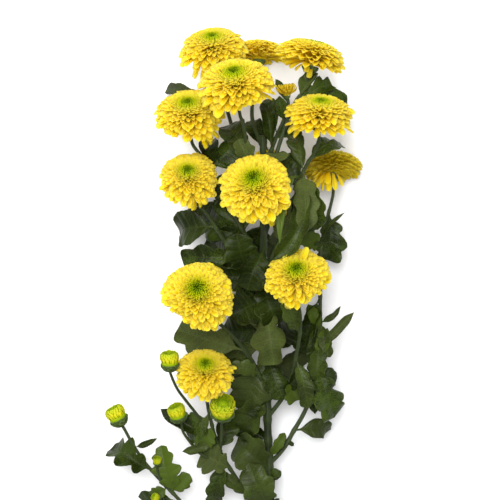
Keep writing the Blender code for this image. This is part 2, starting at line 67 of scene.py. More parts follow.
# Stage, in metres of the row frame, but for the camera's sensor. The camera frames VIEW_WIDTH at
# VIEW_DISTANCE
PLANT_MIDDLE = (0.014, 0.086, 0.05)
KEY_PLACE, KEY_SIZE = (-0.4, 1.0, 1.2), 1.3
FILL_PLACE, FILL_SIZE = (-0.12, 0.3, 1.7), 0.8
FLOOR_REACH, FLOOR_HEIGHT = 3.0, -0.0002
CAMERA_OVER = (0.0134, 0.0859)
SENSOR_MM, VIEW_DISTANCE, VIEW_WIDTH = 36.0, 1.5, 0.35

# Heights in metres between which leaves go from full shade to none
SHADED_HEIGHTS = (0.012, 0.05)

# Stalks: radii at root and end in millimetres, sides, and ridges
MAIN_STALK = ((3.55, 2.1), 30, 6)
SHOOT_STALK = ((1.65, 1.1), 14, 5)
TWIG_STALK = ((1.2, 0.95), 12, 5)
# Millimetres between a stalk's rings, and the rings of the cut end in shares of its radius
RING_STEP = 2.4
CUT_SHARES = (0.02, 0.35, 0.7, 0.93)

# Cups: profile of reach and height, and how deep the stalk's end lies, in shares of the radius
CALYX_PROFILE = ((0.05, -0.34), (0.16, -0.24), (0.23, -0.15), (0.23, -0.08))
BUD_CUP_PROFILE = ((0.16, -1.25), (0.57, -0.97), (0.87, -0.6), (0.94, -0.3))
CALYX_DEPTH, BUD_CUP_DEPTH = 0.25, 0.9
CUP_ROWS = 3

# Length of the handles of a floret's curve, and how far back in veins a side vein leaves the midrib
HANDLE = 0.38
VEIN_SLANT = 0.45

# Route of each stalk, from its root inside the stalk that carries it
MAIN_ROUTE = ((3, -154, 3.3), (3, -79, 12), (2, -6, 20), (0, 53, 27), (0, 96, 33), (-3, 146, 40),
              (-3, 196, 46), (-3, 235, 50), (-4, 256, 53))
SHOOT_ROUTES = {
    "shoot_01": ((-3, 193, 46), (-18, 236, 42), (-29, 275, 40)),
    "shoot_02": ((-3, 246, 52), (-10, 264, 42), (-11, 279, 30)),
    "shoot_03": ((-3, 207, 47), (7, 246, 46), (19, 279, 46)),
    "shoot_04": ((-3, 200, 47), (-13, 235, 60), (-17, 262, 72)),
    "shoot_05": ((-3, 166, 43), (-25, 201, 46), (-44, 237, 50)),
    "shoot_06": ((-3, 157, 42), (14, 195, 50), (25, 230, 58)),
    "shoot_07": ((-3, 228, 50), (5, 253, 42), (12, 269, 38)),
    "shoot_08": ((-3, 146, 40), (-28, 178, 48), (-45, 203, 58)),
    "shoot_09": ((-3, 162, 42), (-2, 181, 60), (-5, 199, 76)),
    "shoot_10": ((1, 20, 23), (11, 31, 25), (18, 43, 26), (30, 67, 28), (37, 107, 29), (38, 146, 29),
                 (39, 180, 29)),
    "shoot_11": ((0, 73, 30), (-15, 102, 46), (-35, 124, 62)),
    "shoot_12": ((0, 54, 27), (14, 75, 34), (21, 104, 46), (23, 124, 58)),
    "shoot_13": ((2, -28, 17), (-15, -1, 24), (-30, 23, 32), (-37, 39, 38), (-42, 61, 46)),
    "shoot_14": ((3, -78, 12), (-29, -45, 17), (-52, -19, 22), (-64, -5, 24), (-89, 23, 28)),
    "shoot_15": ((-3, 182, 45), (2, 202, 40)),
}
# Route of each twig that leaves a shoot on its own, to the bud that it carries
TWIG_ROUTES = {
    "shoot_13": {
        "bud_01": ((-35, 33, 36), (-40, 41, 40), (-49, 56, 46), (-57, 67, 52), (-64, 77, 57)),
        "bud_02": ((-30, 21, 32), (-46, 28, 37), (-53, 35, 40), (-60, 45, 44)),
        "bud_03": ((-34, 32, 36), (-33, 41, 46)),
    },
    "shoot_14": {
        "bud_05": ((-73, 4, 26), (-77, 11, 30), (-79, 17, 34)),
        "bud_06": ((-59, -11, 23), (-72, -7, 27)),
    },
}

# Blooms: the shoot that carries each, middle of the rim, radius, and where the face looks
BLOOMS = {
    "bloom_01": ("shoot_01", (-39, 314.5, 42), 23.5, (-0.05, 0.84, 0.54)),
    "bloom_02": ("shoot_02", (-6, 314, 16.7), 19.0, (0.05, 1.0, -0.12)),
    "bloom_03": ("shoot_03", (31, 308, 46), 24.5, (0.24, 0.96, 0.13)),
    "bloom_04": ("shoot_04", (-22, 285, 86), 27.0, (-0.12, 0.77, 0.63)),
    "bloom_05": ("shoot_05", (-55, 266, 62), 25.5, (-0.08, 0.78, 0.62)),
    "bloom_06": ("shoot_06", (36, 265, 74), 24.5, (0.06, 0.9, 0.43)),
    "bloom_07": ("shoot_07", (14, 286, 38), 9.0, (-0.1, 0.95, 0.1)),
    "bloom_08": ("shoot_08", (-56, 222, 72), 21.0, (0.0, 0.66, 0.75)),
    "bloom_09": ("shoot_09", (-8, 216, 92), 26.0, (-0.15, 0.52, 0.84)),
    "bloom_10": ("shoot_10", (46, 231, 19.2), 21.0, (-0.08, 0.93, -0.34)),
    "bloom_11": ("shoot_11", (-49, 142, 82), 25.5, (0.0, 0.42, 0.9)),
    "bloom_12": ("shoot_12", (20, 153, 80), 24.0, (-0.05, 0.62, 0.78)),
    "bloom_13": ("shoot_13", (-44, 86, 60), 21.5, (0.0, 0.7, 0.7)),
    "bloom_14": ("shoot_15", (2, 232, 20), 17.0, (0.25, 0.6, -0.75)),
}
# The half-open bloom, and the one whose outer florets hang back down its stalk and whose florets are
# painted darker as shade
HALF_OPEN = ("bloom_07",)
FUNNELS = ("bloom_10",)

# Long florets that stick out of a bloom: where each tip ends, and its width in millimetres
STRAY_FLORETS = {
    "bloom_01": (((-52, 297, 40), 5.0), ((-46, 294, 38), 5.0)),
    "bloom_03": (((27, 301, 52), 5.0), ((29, 297, 50), 4.5), ((20, 302, 52), 5.5), ((16, 304, 49), 5.5),
                 ((12, 307, 47), 5.5), ((10, 310, 46), 5.0)),
    "bloom_04": (((5, 283, 84), 4.5), ((3, 279, 80), 4.5), ((6, 288, 86), 4.0)),
    "bloom_05": (((-40, 249, 62), 6.0), ((-44, 246, 60), 5.5), ((-35, 253, 64), 5.5)),
    "bloom_06": (((12, 262, 72), 5.0), ((14, 257, 70), 5.5), ((60, 257, 66), 5.0), ((18, 254, 68), 5.0)),
    "bloom_08": (((-47, 205, 64), 5.5), ((-52, 203, 63), 5.0)),
    "bloom_09": (((4, 192, 84), 6.0), ((12, 199, 86), 6.0)),
    "bloom_10": (((32, 229, 28), 5.5), ((33, 224, 31), 6.0), ((36, 220, 33), 6.0), ((40, 218, 34), 6.0),
                 ((44, 217, 34), 6.0), ((49, 218, 34), 5.5), ((53, 221, 32), 5.5), ((34, 227, 33), 5.5),
                 ((38, 223, 36), 6.0), ((43, 222, 37), 6.0), ((30, 233, 26), 5.5)),
    "bloom_11": (((-74, 141, 76), 6.0), ((-75, 146, 78), 5.5), ((-71, 137, 75), 5.5)),
    "bloom_12": (((27, 177, 88), 5.5), ((14, 134, 72), 5.5), ((19, 135, 72), 5.5), ((9, 138, 73), 5.0)),
    "bloom_13": (((-66, 90, 56), 4.5), ((-22, 92, 58), 4.5)),
}

# Where a bloom's outer florets reach further or less far than its radius: direction in degrees
# from the part's right side towards its head end, how wide that stretch is, and by how much
LOPSIDED = {
    "bloom_01": ((60, 40, 0.2), (215, 25, 0.1)),
    "bloom_02": ((90, 60, 0.26),),
    "bloom_03": ((130, 40, 0.2), (-20, 25, -0.06)),
    "bloom_04": ((-55, 30, -0.16), (-95, 45, -0.08), (0, 40, -0.05), (180, 40, -0.05)),
    "bloom_05": ((-135, 35, -0.22), (-80, 35, -0.1), (90, 50, 0.06)),
    "bloom_06": ((90, 60, 0.08), (-90, 60, -0.2), (0, 40, -0.05)),
    "bloom_08": ((55, 35, 0.32), (190, 25, -0.08), (120, 30, 0.1)),
    "bloom_09": ((180, 40, -0.04), (20, 30, -0.03)),
    "bloom_10": ((0, 26, 0.26), (60, 34, -0.3), (150, 40, -0.26), (-40, 30, -0.3)),
    "bloom_11": ((-130, 36, -0.36), (165, 26, 0.04), (-62, 32, 0.07), (100, 50, -0.04)),
    "bloom_12": ((-125, 45, -0.24), (100, 25, 0.02), (-40, 30, -0.26), (10, 25, 0.06)),
    "bloom_13": ((90, 50, -0.06), (5, 40, -0.09)),
}

# Buds: the shoot that carries each, middle of the cup's rim, radius, and where it looks
BUDS = {
    "bud_01": ("shoot_13", (-69, 97, 66), 6.4, (-0.05, 0.95, 0.3)),
    "bud_02": ("shoot_13", (-64, 59, 49), 6.2, (-0.3, 0.85, 0.4)),
    "bud_03": ("shoot_13", (-32, 63.5, 64), 8.6, (0.05, 0.6, 0.8)),
    "bud_04": ("shoot_14", (-108, 56, 33), 6.8, (-0.45, 0.85, 0.2)),
    "bud_05": ("shoot_14", (-79, 24, 38), 3.0, (0.0, 0.8, 0.55)),
    "bud_06": ("shoot_14", (-80, -3, 32), 3.0, (-0.6, 0.5, 0.5)),
}

# Leaves of each stalk: root, tip, width, where the upper side looks, arch, and outline
LEAVES = {
    "main_stem": (
        ((-3, 139, 39), (-27, 128, 56), 30, (0, 0.1, 0.95), 0.12, 2),
        ((-3, 152, 41), (8, 121, 50), 24, (0, 0.1, 0.95), 0.12, 2),
        ((-1, 103, 34), (-53, 98, 18), 24, (0, -0.1, 0.98), 0.05, 2),
        ((-2, 134, 38), (4, 92, 52), 36, (0, 0.2, 0.95), 0.12, 4),
        ((-3, 176, 44), (-9, 129, 18), 28, (0, 0.2, 0.95), 0.05, 2),
        ((1, 16, 22), (-25, 39, 26), 28, (0, 0.2, 0.95), 0.15, 2),
        ((2, -10, 19), (-15, 22, 40), 24, (-0.2, 0.1, 0.95), 0.15, 2),
        ((2, -28, 17), (37, -16, 8), 26, (0.1, 0.1, 0.98), 0.15, 3),
        ((3, -50, 14), (-33, -74, 2), 26, (-0.1, 0.1, 0.98), 0.18, 3),
        ((3, -72, 12), (36, -63, 4), 24, (0.1, 0.1, 0.98), 0.15, 3),
        ((-2, 125, 37), (-23, 81, 3), 26, (-0.4, -0.2, -0.9), 0.15, 3),
        ((-3, 182, 44), (24, 166, 4), 26, (0.3, 0, -0.9), 0.15, 3),
        ((0, 89, 32), (27, 100, 4), 24, (0.3, -0.1, -0.9), 0.15, 3),
        ((-1, 98, 34), (-18, 60, 26), 32, (0, 0.1, 0.98), 0.12, 2),
        ((0, 72, 30), (-21, 38, 22), 26, (0, 0.1, 0.98), 0.12, 2),
        ((0, 97, 33), (11, 68, 38), 20, (0, 0.1, 0.98), 0.12, 1),
        ((-3, 196, 46), (-12, 168, 14), 26, (0, 0, 1), 0.08, 2),
        ((-1, 118, 36), (-32, 117, 20), 24, (0, 0, 1), 0.08, 2),
        ((0, 104, 34), (22, 123, 18), 26, (0, 0, 1), 0.08, 2),
        ((-3, 162, 42), (-45, 183, 14), 26, (0, 0, 1), 0.06, 2),
        ((0, 38, 25), (-19, 50, 20), 24, (0, 0, 1), 0.1, 2),
        ((2, 26, 24), (13, 44, 30), 8, (0, 0, 1), 0.15, 1),
        ((2, 10, 22), (10, 16, 26), 9, (-0.3, 0, 1), 0.25, 0),
        ((2, -13, 19), (9, -4, 22), 6, (-0.3, 0, 1), 0.2, 0),
        ((3, 58, 30), (-15, 58, 34), 6, (0, 0, 1), 0.15, 0),
    ),
    "shoot_01": (
        ((-30, 279, 40), (-74, 293, -1.2), 12, (-0.3, 0.2, 0.9), 0.16, 1),
    ),
    "shoot_03": (
        ((22, 284, 46), (59, 276, 34), 21, (0.1, 0.3, 0.95), 0.1, 0),
        ((21, 284, 46), (36, 301, 42), 15, (0, 0.1, 0.98), 0.06, 0),
        ((21, 284, 46), (46, 292, 41), 19, (0, 0.1, 0.98), 0.06, 4),
    ),
    "shoot_04": (
        ((-11, 233, 58), (15, 241, 72), 13, (-0.1, 0.3, 0.9), 0.15, 1),
        ((-12, 234, 60), (-21, 253, 67), 16, (0.3, -0.3, 0.9), 0.12, 1),
        ((-14, 240, 62), (-33, 267, 48), 22, (0, 0, 1), 0.1, 2),
    ),
    "shoot_05": (
        ((-15, 184, 45), (-29, 222, 30), 28, (0, -0.1, 0.98), 0.1, 2),
        ((-10, 177, 44), (-48, 204, 28), 30, (0, -0.1, 0.98), 0.08, 2),
        ((-38, 226, 49), (-45, 257, 34), 24, (0, 0.3, 0.9), 0.1, 2),
        ((-41, 232, 50), (-17, 255, 52), 26, (0, 0, 1), 0.05, 2),
        ((-20, 191, 45), (-37, 180, 26), 22, (0, 0.1, 0.95), 0.1, 2),
        ((-30, 208, 47), (-56, 191, 3), 24, (-0.4, -0.2, -0.8), 0.15, 3),
        ((-27, 204, 46), (-29, 229, 60), 20, (0, -0.2, 0.95), 0.1, 1),
    ),
    "shoot_06": (
        ((27, 238, 62), (47, 256, 52), 12, (-0.1, 0.3, 0.9), 0.15, 1),
        ((27, 238, 62), (58, 252, 50), 9, (-0.2, 0.2, 0.9), 0.15, 1),
        ((21, 217, 55), (10, 245, 48), 24, (0, 0, 1), 0.1, 2),
        ((22, 214, 56), (12, 180, 66), 18, (-0.8, 0, 0.6), 0.15, 1),
        ((25, 222, 58), (13, 166, 92), 24, (0.12, 0.1, 0.98), 0.1, 1),
        ((5, 178, 46), (13, 146, 52), 22, (0, 0.2, 0.95), 0.1, 1),
        ((23, 223, 56), (27, 186, 44), 23, (0.1, 0.1, 0.98), 0.12, 2),
        ((24, 230, 58), (19, 262, 46), 16, (0, 0, 1), 0.1, 1),
        ((25, 230, 58), (36, 188, 58), 19, (0.1, 0, 0.98), 0.1, 1),
        ((23, 225, 61), (8, 179, 97), 10, (-0.3, 0, 0.95), 0.32, 0),
        ((25, 230, 59), (27, 187, 82), 20, (0.3, 0, 0.95), 0.1, 1),
    ),
    "shoot_07": (
        ((13, 279, 38), (5, 298, 34), 7, (0.2, 0.2, 0.95), 0.08, 0),
        ((3, 246, 44), (-3, 283, 46), 14, (0, -0.3, 0.95), 0.1, 0),
        ((5, 253, 42), (24, 270, 26), 17, (0.2, 0.3, 0.9), 0.12, 0),
        ((11, 267, 39), (8, 285, 43), 10, (0, 0, 1), 0.1, 0),
        ((1, 244, 45), (-14, 272, 32), 16, (0, 0, 1), 0.1, 0),
        ((6, 258, 41), (-2, 288, 30), 13, (0, 0, 1), 0.1, 0),
    ),
    "shoot_08": (
        ((-36, 192, 53), (-68, 187, 36), 28, (-0.3, 0.2, 0.9), 0.14, 0),
        ((-21, 168, 46), (-62, 169, 36), 20, (0, 0.2, 0.95), 0.1, 4),
        ((-10, 155, 43), (-46, 157, 28), 32, (0, 0.1, 0.95), 0.12, 2),
        ((-14, 162, 44), (-22, 186, 66), 24, (0, -0.3, 0.95), 0.1, 2),
    ),
    "shoot_09": (
        ((-3, 176, 56), (-15, 146, 60), 26, (0, 0.2, 0.95), 0.12, 2),
    ),
    "shoot_10": (
        ((41, 204, 32), (43, 166, 24), 24, (0.2, 0, 0.95), 0.12, 4),
        ((39, 184, 30), (55, 202, 40), 4, (-0.3, 0.2, 0.9), 0.12, 0),
        ((38, 122, 29), (53, 134, 36), 6, (0, -0.2, 0.95), 0.1, 0),
        ((37, 104, 29), (62, 131, 34), 8, (0, 0.2, 0.95), 0.12, 0),
        ((36, 97, 29), (43, 119, 31), 12, (0, 0.2, 0.95), 0.12, 0),
        ((32, 91, 28), (47, 55, 32), 28, (0.1, 0.1, 0.98), 0.2, 4),
        ((38, 142, 29), (27, 99, 22), 22, (0, 0.1, 0.98), 0.1, 2),
        ((37, 108, 29), (35, 80, 34), 16, (0, 0.1, 0.98), 0.1, 1),
        ((20, 45, 26), (47, 44, 14), 15, (0.1, 0.3, 0.9), 0.15, 0),
        ((38, 118, 29), (30, 137, 34), 10, (0, 0.1, 0.98), 0.1, 0),
        ((14, 37, 25), (19, 34, 28), 4, (0, 0, 1), 0.15, 0),
        ((39, 178, 30), (22, 186, 36), 18, (0, 0, 1), 0.1, 1),
        ((38, 128, 29), (31, 90, 24), 14, (0, 0.1, 0.98), 0.1, 0),
        ((38, 124, 29), (45, 98, 32), 11, (0, 0.1, 0.98), 0.1, 1),
        ((31, 78, 28), (34, 57, 31), 11, (0.2, 0, 0.95), 0.1, 0),
        ((33, 92, 28), (50, 78, 30), 14, (0.1, 0.1, 0.98), 0.1, 0),
    ),
    "shoot_11": (
        ((-16, 104, 46), (-64.5, 118, 36), 30, (0, 0.1, 0.98), 0.02, 4),
        ((-6, 85, 37), (-27, 92, 50), 14, (0, 0.3, 0.9), 0.12, 1),
    ),
    "shoot_12": (
        ((20, 98, 43), (29, 61, 40), 15, (0, 0, 1), 0.1, 1),
        ((22, 116, 53), (13, 143, 66), 14, (0, -0.2, 0.95), 0.12, 1),
        ((13, 72, 33), (25, 91, 40), 12, (0, -0.2, 0.95), 0.12, 1),
        ((16, 84, 38), (20, 67, 33), 17, (0, 0, 1), 0.12, 1),
    ),
    "shoot_13": (
        ((-27, 18, 31), (-49, 29, 36), 24, (-0.1, 0.2, 0.95), 0.15, 4),
        ((-14, -3, 23), (-37, 16, 28), 10, (0, 0.2, 0.95), 0.15, 1),
        ((-52, 58, 46), (-49, 41, 40), 9, (0, 0, 1), 0.1, 0),
        ((-41, 57, 44), (-60, 44, 36), 26, (0, 0.1, 0.98), 0.12, 2),
        ((-31, 25, 32), (-39, -10, 20), 16, (0, 0.1, 0.98), 0.12, 1),
        ((-40, 50, 42), (-46, 33, 38), 14, (0, 0, 1), 0.12, 1),
        ((-33, 32, 35), (-31, 56, 30), 22, (0, 0, 1), 0.1, 2),
        ((-50, 32, 39), (-61, 31, 38), 9, (0, 0, 1), 0.12, 0),
        ((-54, 36, 40), (-78, 62, 36), 13, (0, 0, 1), 0.1, 0),
    ),
    "shoot_14": (
        ((-83, 15, 27), (-115.5, 36, 20), 25, (0, 0.2, 0.95), 0.15, 5),
        ((-95, 34, 29), (-79, 40, 34), 5, (0, 0.2, 0.95), 0.1, 0),
        ((-70, -2, 24), (-77, 35, 32), 21, (-0.1, 0, 0.98), 0.12, 5),
        ((-52, -19, 22), (-97, -5, 16), 14, (0, 0.2, 0.95), 0.15, 2),
        ((-70, 0, 25), (-56, 14, 30), 13, (0, 0, 1), 0.12, 1),
        ((-72, 3, 26), (-84, -4, 22), 12, (0, 0, 1), 0.12, 1),
    ),
}

# By stalk and place in the table above: leaves that turn their paler side up, bright young ones,
# and ones painted dark all over as shade where the foliage lies in shadow
PALE_SIDE_UP = {("main_stem", 2), ("main_stem", 3), ("shoot_01", 0), ("shoot_04", 0), ("shoot_04", 1),
                ("shoot_06", 3), ("shoot_06", 10), ("shoot_10", 3), ("shoot_11", 0), ("shoot_13", 0)}
YOUNG_LEAVES = {("shoot_10", 4), ("shoot_10", 9), ("shoot_10", 11), ("shoot_12", 3), ("shoot_06", 9),
                ("shoot_13", 5), ("shoot_14", 2), ("shoot_14", 4), ("shoot_14", 5), ("main_stem", 21)}
SHADE_DARKENED_LEAVES = {("main_stem", 0), ("main_stem", 1), ("main_stem", 4), ("main_stem", 17), ("main_stem", 18),
              ("main_stem", 20), ("shoot_05", 4), ("shoot_08", 2), ("shoot_08", 3), ("shoot_09", 0)}

# Half width of a leaf along its midrib, and where its side veins end
LEAF_OUTLINES = (
    ((0, 0.14), (0.14, 0.16), (0.44, 0.96), (0.66, 0.92), (1, 0)),
    ((0, 0.1), (0.13, 0.12), (0.35, 0.84), (0.43, 0.74), (0.58, 1.04), (0.69, 0.78), (0.81, 0.82), (1, 0)),
    ((0, 0.08), (0.13, 0.09), (0.28, 0.76), (0.37, 0.68), (0.54, 1.06), (0.66, 0.82), (0.79, 0.86), (1, 0)),
    ((0, 0.06), (0.12, 0.07), (0.23, 0.68), (0.31, 0.58), (0.48, 1.06), (0.6, 0.78), (0.73, 0.94),
     (0.81, 0.72), (0.89, 0.66), (1, 0)),
    ((0, 0.1), (0.14, 0.13), (0.33, 0.72), (0.42, 0.5), (0.62, 1.04), (0.74, 0.7), (0.87, 0.84), (1, 0)),
    ((0, 0.06), (0.12, 0.08), (0.25, 0.74), (0.35, 0.4), (0.51, 1.1), (0.64, 0.52), (0.77, 0.8),
     (0.85, 0.5), (0.92, 0.44), (1, 0)),
)
VEIN_ENDS = (
    (0, 0.25, 0.42, 0.58, 0.72, 0.86, 1),
    (0, 0.22, 0.35, 0.47, 0.58, 0.7, 0.81, 0.92, 1),
    (0, 0.18, 0.28, 0.42, 0.54, 0.67, 0.79, 0.9, 1),
    (0, 0.23, 0.36, 0.48, 0.61, 0.73, 0.82, 0.91, 1),
    (0, 0.2, 0.33, 0.48, 0.63, 0.76, 0.88, 1),
    (0, 0.25, 0.38, 0.51, 0.64, 0.77, 0.85, 0.92, 1),
)

# Tips of a full bloom's florets from the lowest to the innermost: reach and height in shares of
# its radius, and the slopes in degrees at which a floret leaves the middle and ends
FULL_TIPS = ((0, 0.96, -0.03, 8, -18), (0.18, 1.0, 0.14, 28, -8), (0.38, 0.95, 0.33, 48, 2),
             (0.58, 0.81, 0.47, 62, 10), (0.78, 0.59, 0.61, 74, 30), (1, 0.3, 0.66, 84, 74))
# The same for a bloom in FUNNELS, one in HALF_OPEN, and a bud
FUNNEL_TIPS = ((0, 0.56, -0.1, 4, -34), (0.12, 0.74, -0.07, 5, -28), (0.26, 0.94, -0.02, 8, -18),
               (0.42, 1.0, 0.14, 28, -8), (0.58, 0.95, 0.33, 48, 2), (0.74, 0.81, 0.47, 62, 10),
               (0.88, 0.59, 0.61, 74, 30), (1, 0.3, 0.66, 84, 74))
CUP_TIPS = ((0, 0.82, 0.3, 30, 50), (0.4, 0.84, 0.66, 50, 80), (0.75, 0.62, 0.9, 70, 110),
            (1, 0.33, 0.78, 85, 130))
BUD_TIPS = ((0, 1.04, 0.42, 50, 84), (0.3, 1.0, 0.82, 60, 96), (0.62, 0.8, 1.02, 74, 116),
            (1, 0.48, 0.94, 84, 126))

# Rings along a floret, its half width there, and its cross-section: place across, and 1 below
RAY = {
    "along": np.array((0.0, 0.3, 0.56, 0.76, 0.89, 0.965, 1.0)),
    "width": np.array((0.26, 0.44, 0.76, 0.98, 0.95, 0.7, 0.34)),
    "across": np.array((-1.0, -0.5, 0.0, 0.5, 1.0, 0.5, 0.0, -0.5)),
    "under": np.array((0.0, 0.0, 0.0, 0.0, 0.0, 1.0, 1.0, 1.0)),
}
NUB = {
    "along": np.array((0.0, 0.5, 0.82, 0.95, 1.0)),
    "width": np.array((0.7, 0.95, 0.95, 0.7, 0.3)),
    "across": np.array((-1.0, -0.4, 0.4, 1.0, 0.4, -0.4)),
    "under": np.array((0.0, 0.0, 0.0, 0.0, 1.0, 1.0)),
}


def unit(vectors):
    """Vectors of length one along the last axis."""
    vectors = np.asarray(vectors, dtype=float)
    return vectors / np.linalg.norm(vectors, axis=-1, keepdims=True)


def ease(low, high, value):
    """Smooth step: 0 below low, 1 above high, and 3x^2 - 2x^3 between them."""
    x = np.clip((np.asarray(value, dtype=float) - low) / (high - low), 0.0, 1.0)
    return x * x * (3.0 - 2.0 * x)


def bell(value, middle, width):
    """Bell curve exp(-((value - middle) / width)^2)."""
    return np.exp(-((value - middle) / width) ** 2)


def triples(*columns):
    """Arrays that broadcast together, side by side as the last axis."""
    return np.stack(np.broadcast_arrays(*columns), axis=-1)


def place_mm(points):
    """Row-frame metres from table millimetres. Nothing goes below the table: a height z becomes
    (z + sqrt(z^2 + 1)) / 2, which is z well above the table and falls to 0 under it."""
    moved = np.asarray(points, dtype=float) + SHIFT
    moved[..., 2] = 0.5 * (moved[..., 2] + np.sqrt(moved[..., 2] ** 2 + 1.0))
    return moved * MM


def smooth_route(points, step=RING_STEP):
    """Catmull-Rom curve: on each span the point is a cubic in t of its four nearest knots."""
    knots = np.asarray(points, dtype=float)
    padded = np.vstack((2 * knots[0] - knots[1], knots, 2 * knots[-1] - knots[-2]))
    lengths = np.linalg.norm(np.diff(knots, axis=0), axis=1)
    counts = np.maximum(2, np.round(lengths / step).astype(int))
    span = np.append(np.repeat(np.arange(len(counts)), counts), len(counts) - 1)
    t = np.append(np.concatenate([np.arange(n) / n for n in counts]), 1.0)[:, None]
    p0, p1, p2, p3 = (padded[span + k] for k in range(4))
    return 0.5 * (2 * p1 + (p2 - p0) * t + (2 * p0 - 5 * p1 + 4 * p2 - p3) * t ** 2
                  + (3 * p1 - p0 - 3 * p2 + p3) * t ** 3)


def nearest(route, point):
    """Point of a route closest to a place, where a leaf is rooted."""
    fine = smooth_route(route, 1.0)
    return fine[np.argmin(np.linalg.norm(fine - np.asarray(point, dtype=float), axis=1))]


def flower_axes(axis):
    """Three unit vectors of a flower's own frame, the last along its axis."""
    axis = unit(axis)
    first = unit(np.cross(axis, (0.31, 0.2, 0.93)))
    return np.stack((first, np.cross(axis, first), axis))


def in_place(rings, middle, radius, axis):
    """Points of a flower's own frame, in shares of its radius, carried to its place."""
    return np.asarray(middle, dtype=float) + radius * (rings @ flower_axes(axis))


def neck(middle, radius, axis, depth):
    """Last two points of a flower's stalk, which bring it in along the flower's axis."""
    middle, axis = np.asarray(middle, dtype=float), unit(axis)
    return [middle - axis * (depth + 0.55) * radius, middle - axis * depth * radius]


def skin(rings, coat, kind, material=0):
    """Closed skins from rings of points, shaped (skins, rings, points, 3): quads join each ring
    to the next, a cap closes each end, and a skin whose volume is negative is turned round.
    coat and kind are two triples of numbers for each point, which the materials read."""
    skins, count, sides, _ = rings.shape
    index = np.arange(skins * count * sides).reshape(skins, count, sides)
    after = np.roll(index, -1, axis=2)
    quads = np.stack((index[:, :-1], after[:, :-1], after[:, 1:], index[:, 1:]), axis=-1)
    caps = np.stack((index[:, 0, ::-1], index[:, -1]), axis=1)
    flat = (rings - rings.mean(axis=(1, 2), keepdims=True)).reshape(-1, 3)
    a, b, c, d = (flat[quads[..., k]] for k in range(4))
    volume = (a * np.cross(b, c) + a * np.cross(c, d)).sum(axis=(1, 2, 3))
    fan = np.cross(flat[caps[..., 1:-1]], flat[caps[..., 2:]])
    volume += (flat[caps[..., :1]] * fan).sum(axis=(1, 2, 3))
    turned_in = volume < 0
    quads[turned_in] = quads[turned_in][..., ::-1]
    caps[turned_in] = caps[turned_in][..., ::-1]
    return {
        "points": rings.reshape(-1, 3),
        "faces": [quads.reshape(-1, 4), caps.reshape(-1, sides)],
        "coat": np.broadcast_to(coat, rings.shape).reshape(-1, 3),
        "kind": np.broadcast_to(kind, rings.shape).reshape(-1, 3),
        "material": material,
    }


def flower_skin(batch, spot, material=0):
    """Skins of one batch of a flower's parts, carried to its middle, radius and axis."""
    rings, coat, kind = batch
    return skin(in_place(rings, *spot), coat, kind, material)


def add_piece(name, skins, materials, nodes):
    """One smooth-shaded mesh from several skins, which stands for the named CAD nodes."""
    starts = np.cumsum([0] + [len(part["points"]) for part in skins])
    faces = [(face + start, part["material"]) for part, start in zip(skins, starts)
             for face in part["faces"]]
    corners = np.concatenate([face.ravel() for face, _ in faces])
    sizes = np.concatenate([np.full(len(face), face.shape[1]) for face, _ in faces])
    slots = np.concatenate([np.full(len(face), material) for face, material in faces])
    points = place_mm(np.concatenate([part["points"] for part in skins]))
    mesh = bpy.data.meshes.new(name)
    mesh.vertices.add(len(points))
    mesh.vertices.foreach_set("co", points.ravel())
    mesh.loops.add(len(corners))
    mesh.loops.foreach_set("vertex_index", corners)
    mesh.polygons.add(len(sizes))
    mesh.polygons.foreach_set("loop_start", np.cumsum(sizes) - sizes)
    mesh.polygons.foreach_set("material_index", slots)
    for key in ("coat", "kind"):
        values = np.concatenate([part[key] for part in skins])
        mesh.attributes.new(key, "FLOAT_VECTOR", "POINT").data.foreach_set("vector", values.ravel())
    for material in materials:
        mesh.materials.append(material)
    mesh.update(calc_edges=True)
    mesh.shade_smooth()
    piece = bpy.data.objects.new(name, mesh)
    bpy.context.scene.collection.objects.link(piece)
    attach(piece, "root")
    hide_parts(*nodes)
    return piece


def florets(form, turn, base, tip, leave, end, width, cup, thick, sway, roll, ring, tone):
    """Scooped florets in a flower's own frame, all arguments after form hold one value a floret,
    but for thick. A floret's middle line is a cubic curve in the plane at its turn round the
    axis, from base to tip, with handles HANDLE of their distance long at the slopes leave and
    end. Across it a point at v in -1..1 lies half * v sideways and
    half * (scoop * (v^2 - 0.35) + roll * v) above the line, where half is the floret's half width
    at that ring and scoop grows to cup along it. The under side lies thick lower."""
    u = form["along"][None, :, None]
    across, under = form["across"][None, None, :], form["under"][None, None, :]
    span = np.linalg.norm(tip - base, axis=1, keepdims=True)
    first = base + HANDLE * span * np.stack((np.cos(leave), np.sin(leave)), axis=1)
    last = tip - HANDLE * span * np.stack((np.cos(end), np.sin(end)), axis=1)
    sway = sway * span[:, 0]
    turn, width, cup, sway, roll, ring, tone = (
        value[:, None, None] for value in (turn, width, cup, sway, roll, ring, tone))
    base, first, last, tip = (corner[:, None] for corner in (base, first, last, tip))
    line = ((1 - u) ** 3 * base + 3 * u * (1 - u) ** 2 * first + 3 * u * u * (1 - u) * last
            + u ** 3 * tip)
    slope = unit((1 - u) ** 2 * (first - base) + 2 * u * (1 - u) * (last - first)
                 + u * u * (tip - last))
    half = 0.5 * width * form["width"][None, :, None]
    scoop = cup * ease(0.05, 0.7, u)
    rise = half * (scoop * (across ** 2 - 0.35) + roll * across) - thick * under
    reach = line[..., :1] - slope[..., 1:] * rise
    height = line[..., 1:] + slope[..., :1] * rise
    side = half * across * (1 - 0.18 * scoop) + sway * u ** 2
    cos, sin = np.cos(turn), np.sin(turn)
    rings = np.stack((reach * cos - side * sin, reach * sin + side * cos, height), axis=-1)
    return rings, triples(u, across, tone), triples(ring, under, np.zeros(1))


